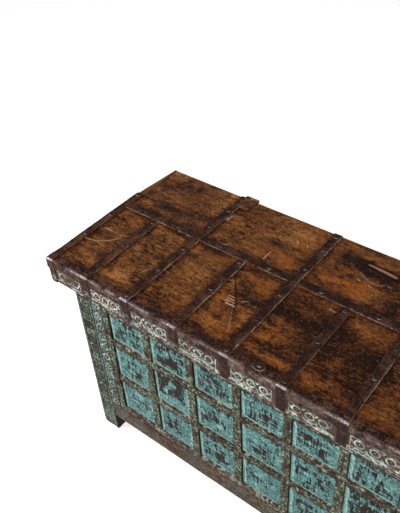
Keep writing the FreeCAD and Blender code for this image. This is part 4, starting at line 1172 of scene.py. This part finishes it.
def carved_stile(points):
    """A chain of flowers down the middle, with a slanting leaf either side between them."""
    x, z = points[..., 0], points[..., 2]
    dx = np.abs(x) - stile_middle
    near, between = flower_chain(z, stile_flower_z, stile_step)
    flower = ring_flower(dx, near, 0.0165)
    leaves = [leaf(dx - side * 0.0085, between, 0.013, 0.0042, side * 0.95) for side in (-1, 1)]
    high = highest(flower, bell(np.abs(dx) - 0.0178, 0.0013), *leaves)
    soften = 0.7 + 0.4 * soft_noise(x, z, 0.02, 111)
    carve = np.maximum(unit(high * soften), ramp(np.abs(dx) - 0.0182, 0.001))
    depth = 0.0026 * (1 - carve) + 0.0003 * (1 + soft_noise(x, z, 0.04, 112))
    # Painted shade down both edges of the stile.
    sides = ramp(np.abs(dx) - np.abs(dx).max() + 0.0015, 0.0012)
    return depth, {"carve": carve, "bright": unit(flower * soften), "shady": sides}


stile_paint = painted("carved_stile_paint", ALONG_Z, (0.19, 0.32, 0.285), (0.56, 0.67, 0.59),
                      (0.10, 0.05, 0.035), (0.036, 0.027, 0.020), coat=-0.16, wear=-0.06, dirt=0.24,
                      wear_by=(("edge", 0.10), ("behind", 0.4)),
                      dirt_and_shade_by=(("carve", -0.42), ("shady", 0.7)), coat_by=(("bright", 0.55),))
for side in ("left", "right"):
    stile = slab(*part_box("carved_stile_" + side), "front", (0.0011, 0.0012), 0.0018, carved_stile)
    new_piece("flower_stile_" + side, [stile], stile_paint, "frame_paint", "body", "carved_stile_" + side)


# ---------------------------------------------------------------- rails, strips and muntins
# The plain members of the front's frame, each with eased edges: rails above and below, strips
# over, between and under the panels, and muntins between them. Olive and brown, worn.
def bar_face(low, high, seed, along_axis):
    """A hewn face, darker down both sides of an upright bar, or along the foot of a level one, as painted
    shade with some dirt.
    """
    plain = hewn(seed, along_axis)

    def relief(points):
        depth, fields = plain(points)
        x, z = points[..., 0], points[..., 2]
        shady = (ramp(low[2] + 0.0065 - z, 0.004) if along_axis == 0
                 else ramp(np.maximum(x - high[0], low[0] - x) + 0.0012, 0.0012))
        return depth, dict(fields, shady=(0.70 + 0.45 * soft_noise(x, z, 0.03, seed + 60)) * shady)
    return relief


# The strips' shady field lays painted shade through the dirt colour.
strip_wear_and_shade = dict(wear_by=(("edge", -0.02), ("behind", -0.30)), coat_by=(("behind", 0.8), ("edge", 0.08)),
                  dirt_and_shade_by=(("edge", -0.06), ("behind", -0.25), ("shady", 0.45)), roughness=0.66, flecks=1.7,
                  size=0.62)
umber, dark_brown = (0.022, 0.011, 0.007), (0.030, 0.017, 0.012)
upright_paint = painted("olive_upright_paint", ALONG_Z, (0.086, 0.098, 0.054), (0.31, 0.40, 0.31),
                        (0.072, 0.031, 0.019), umber, coat=-0.10, wear=0.02, dirt=0.03, **strip_wear_and_shade)
cross_paint = painted("brown_green_cross_paint", ALONG_X, (0.086, 0.085, 0.056), (0.42, 0.46, 0.35),
                      (0.075, 0.032, 0.020), umber, coat=-0.10, wear=0.05, dirt=0.09, **strip_wear_and_shade)
level_paint = painted("brown_level_paint", ALONG_X, (0.112, 0.094, 0.064), (0.45, 0.43, 0.36),
                      (0.092, 0.041, 0.028), umber, coat=-0.07, wear=0.03, dirt=0.05, **strip_wear_and_shade)
rail_paint = painted("brown_rail_paint", ALONG_X, (0.12, 0.115, 0.085), (0.19, 0.17, 0.13),
                     (0.12, 0.045, 0.03), dark_brown, coat=-0.05, wear=0.05, dirt=0.02,
                     wear_by=(("edge", 0.12), ("behind", 0.4)), roughness=0.7)
muntins = ["muntin_%d" % k for k in range(1, 6)]
for i, node in enumerate(("edge_strip_left", "edge_strip_right", *muntins)):
    bar = slab(*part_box(node), "front", (0.0025, 0.004), 0.0025, bar_face(*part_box(node), 120 + i, 2))
    new_piece(node + "_hewn", [bar], upright_paint, "strip_paint", "body", node)
for i, node in enumerate(("front_top_strip", "front_bottom_strip")):
    bar = slab(*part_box(node), "front", (0.004, 0.0025), 0.0025, bar_face(*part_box(node), 130 + i, 0))
    new_piece(node + "_hewn", [bar], level_paint, "strip_paint", "body", node)
for i, node in enumerate(("front_top_rail", "front_bottom_rail")):
    bar = slab(*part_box(node), "front", (0.005, 0.004), 0.0025, hewn(133 + i, 0))
    new_piece(node + "_hewn", [bar], rail_paint, "frame_paint", "body", node)

panel_gap = 0.0005
column_ends = [x for node in muntins for x in (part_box(node)[0].x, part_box(node)[1].x)]
column_ends = [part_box("panels_top")[0].x - panel_gap, *column_ends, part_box("panels_top")[1].x + panel_gap]
columns = list(zip(column_ends[::2], column_ends[1::2]))
for node, seed in (("cross_strips_upper", 136), ("cross_strips_lower", 137)):
    low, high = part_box(node)
    bars = [slab((x0, low.y, low.z), (x1, high.y, high.z), "front", (0.004, 0.0025), 0.0025,
                 bar_face(low, high, seed + 7 * i, 0)) for i, (x0, x1) in enumerate(columns)]
    new_piece(node + "_hewn", bars, cross_paint, "strip_paint", "body", node)


# ---------------------------------------------------------------- panels
# Three rows of six raised panels. A bevel runs in from each panel's edge to a flat field. The
# turquoise is bright on the bevels, lighter on the left and lower ones as painted light and darker
# on the top one as painted shade, and worn through to dark wood in the middle of the fields.
bevel_width, bevel_rise = 0.015, 0.005
panel_wear = np.random.default_rng(140).uniform(0.2, 1.0, (3, 6))
panel_wear[0, :3] = (0.75, 1.45, 0.7)
panel_wear[1, :3] = (0.95, 4.2, 0.7)
spot_shift = np.random.default_rng(141).uniform(-0.012, 0.012, (3, 6, 2))
spot_shift[:2, :2] = ((0.004, 0.006), (0.010, 0.004)), ((0.0, 0.0), (-0.012, 0.022))


def raised_panel(low, high, wear, shift, seed):
    """Bevel: depth falls evenly with the distance from the edge, then a small step to the field."""
    def relief(points):
        x, z = points[..., 0], points[..., 2]
        left, right, foot, head = x - low[0], high[0] - x, z - low[2], high[2] - z
        d = np.minimum(np.minimum(left, right), np.minimum(foot, head))
        depth = bevel_rise * (1 - ramp(d, bevel_width)) * 0.86
        depth = depth + 0.0007 * ramp(bevel_width + 0.0008 - d, 0.0012)
        wave = soft_noise(x, z / 3.0, 0.02, seed) + 0.4 * soft_noise(x, z, 0.009, seed + 1)
        on_bevel = ramp(bevel_width - d, 0.001)
        # Painted light and shade on the bevels: left lightest, then the foot, then the right; the top one
        # darker.
        pale = on_bevel * np.select([d == left, d == foot, d == right], [1.0, 0.7, 0.35], -0.75)
        sound = on_bevel * unit(1.2 - 0.2 * wear)
        cx, cz = (low[0] + high[0]) / 2, (low[2] + high[2]) / 2
        spot = np.exp(-((x - cx - shift[0]) / 0.052) ** 4 - ((z - cz - shift[1]) / 0.042) ** 4)
        strokes = soft_noise(x, z / 7.0, 0.0042, seed + 3) + soft_noise(x / 8.0, z, 0.0042, seed + 4)
        rubbed = wear * spot * (0.62 + 0.9 * soft_noise(x, z, 0.024, seed + 2))
        rubbed = rubbed + (0.15 + 0.65 * spot) * strokes
        # Dark in the joint round the panel, and painted shadow under the strip along the top bevel.
        groove_dirt_and_shadow = np.maximum(np.exp(-d / 0.0009), 0.9 * (d == head) * ramp(0.0055 - d, 0.002))
        return depth + 0.0003 * (1.2 + wave), {"pale": pale, "rubbed": np.clip(rubbed, -1, 1) * (1 - sound),
                                              "groove_dirt_and_shadow": groove_dirt_and_shadow}
    return relief


panel_paint = painted("worn_turquoise", ALONG_Z, (0.104, 0.262, 0.252), (0.335, 0.58, 0.54),
                      (0.048, 0.029, 0.023), (0.007, 0.008, 0.009), coat=-0.21, wear=-0.04, dirt=-0.03,
                      wear_by=(("rubbed", 0.45), ("pale", -0.2)),
                      dirt_and_shade_by=(("groove_dirt_and_shadow", 0.35), ("rubbed", 0.05), ("pale", -0.1)),
                      coat_by=(("pale", 0.85), ("rubbed", -0.35)), roughness=0.6, flecks=0.75)
for row, node in enumerate(("panels_top", "panels_middle", "panels_bottom")):
    low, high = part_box(node)
    shapes = []
    for column, (x0, x1) in enumerate(columns):
        corner, far = (x0 + panel_gap, low.y, low.z), (x1 - panel_gap, high.y, high.z)
        relief = raised_panel(corner, far, panel_wear[row, column], spot_shift[row, column],
                              150 + 10 * row + column)
        shapes.append(slab(corner, far, "front", (0.0017, 0.0017), 0.0008, relief))
    new_piece(node + "_raised", shapes, panel_paint, "panel_paint", "body", node)


# ---------------------------------------------------------------- ends, back and inside
# Plain framed ends in the same dark turquoise as the rest, a back of three bare boards, and dry
# unpainted wood inside and underneath.
end_paint, end_stile_paint = (
    painted(name, turn, (0.085, 0.17, 0.155), (0.17, 0.27, 0.235), (0.09, 0.05, 0.032), dark_brown,
            coat=-0.06, wear=wear, wear_by=(("edge", 0.13), ("behind", 0.5)), dirt_and_shade_by=(("edge", 0.06),),
            roughness=0.68, flecks=0.5)
    for name, turn, wear in (("dark_turquoise_ends", ALONG_Y, -0.01), ("dark_turquoise_stile", ALONG_Z, 0.0)))
for side in ("left", "right"):
    for node, paint, axis in (("end_top_rail_", end_paint, 1), ("end_bottom_rail_", end_paint, 1),
                              ("end_stile_", end_stile_paint, 2)):
        bar = slab(*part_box(node + side), side, (0.004, 0.004), 0.0025, hewn(180, axis))
        new_piece(node + "hewn_" + side, [bar], paint, "end_paint", "body", node + side)
    low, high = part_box("end_boards_" + side)
    stile_low, stile_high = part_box("end_stile_" + side)
    boards = [slab((low.x, y0, low.z), (high.x, y1, high.z), side, (0.004, 0.005), 0.0015,
                   hewn(183, 1, 0.0007)) for y0, y1 in ((low.y, stile_low.y), (stile_high.y, high.y))]
    new_piece("end_boards_hewn_" + side, boards, end_paint, "end_paint", "body", "end_boards_" + side)

board_gap = 0.0003
back_wood = bare_wood("old_back_boards", ALONG_X, (0.15, 0.085, 0.045), (0.055, 0.030, 0.018))
low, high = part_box("back_boards")
cuts = np.linspace(low.z, high.z, 4)
boards = [slab((low.x, low.y, z0 + board_gap), (high.x, high.y, z1 - board_gap), "back", (0.006, 0.004),
               0.0015, hewn(190 + i, 0, 0.0007)) for i, (z0, z1) in enumerate(zip(cuts[:-1], cuts[1:]))]
new_piece("back_boards_hewn", boards, back_wood, "bare_wood", "body", "back_boards")
inside_wood = bare_wood("dry_inside_wood", ALONG_X, (0.21, 0.125, 0.065), (0.095, 0.052, 0.028))
floor_wood = bare_wood("dry_floor_wood", ALONG_Y, (0.19, 0.11, 0.06), (0.085, 0.048, 0.027))
finish_nodes(inside_wood, "front_wall_boards", "floor_bearers")
finish_nodes(floor_wood, "floor_boards")
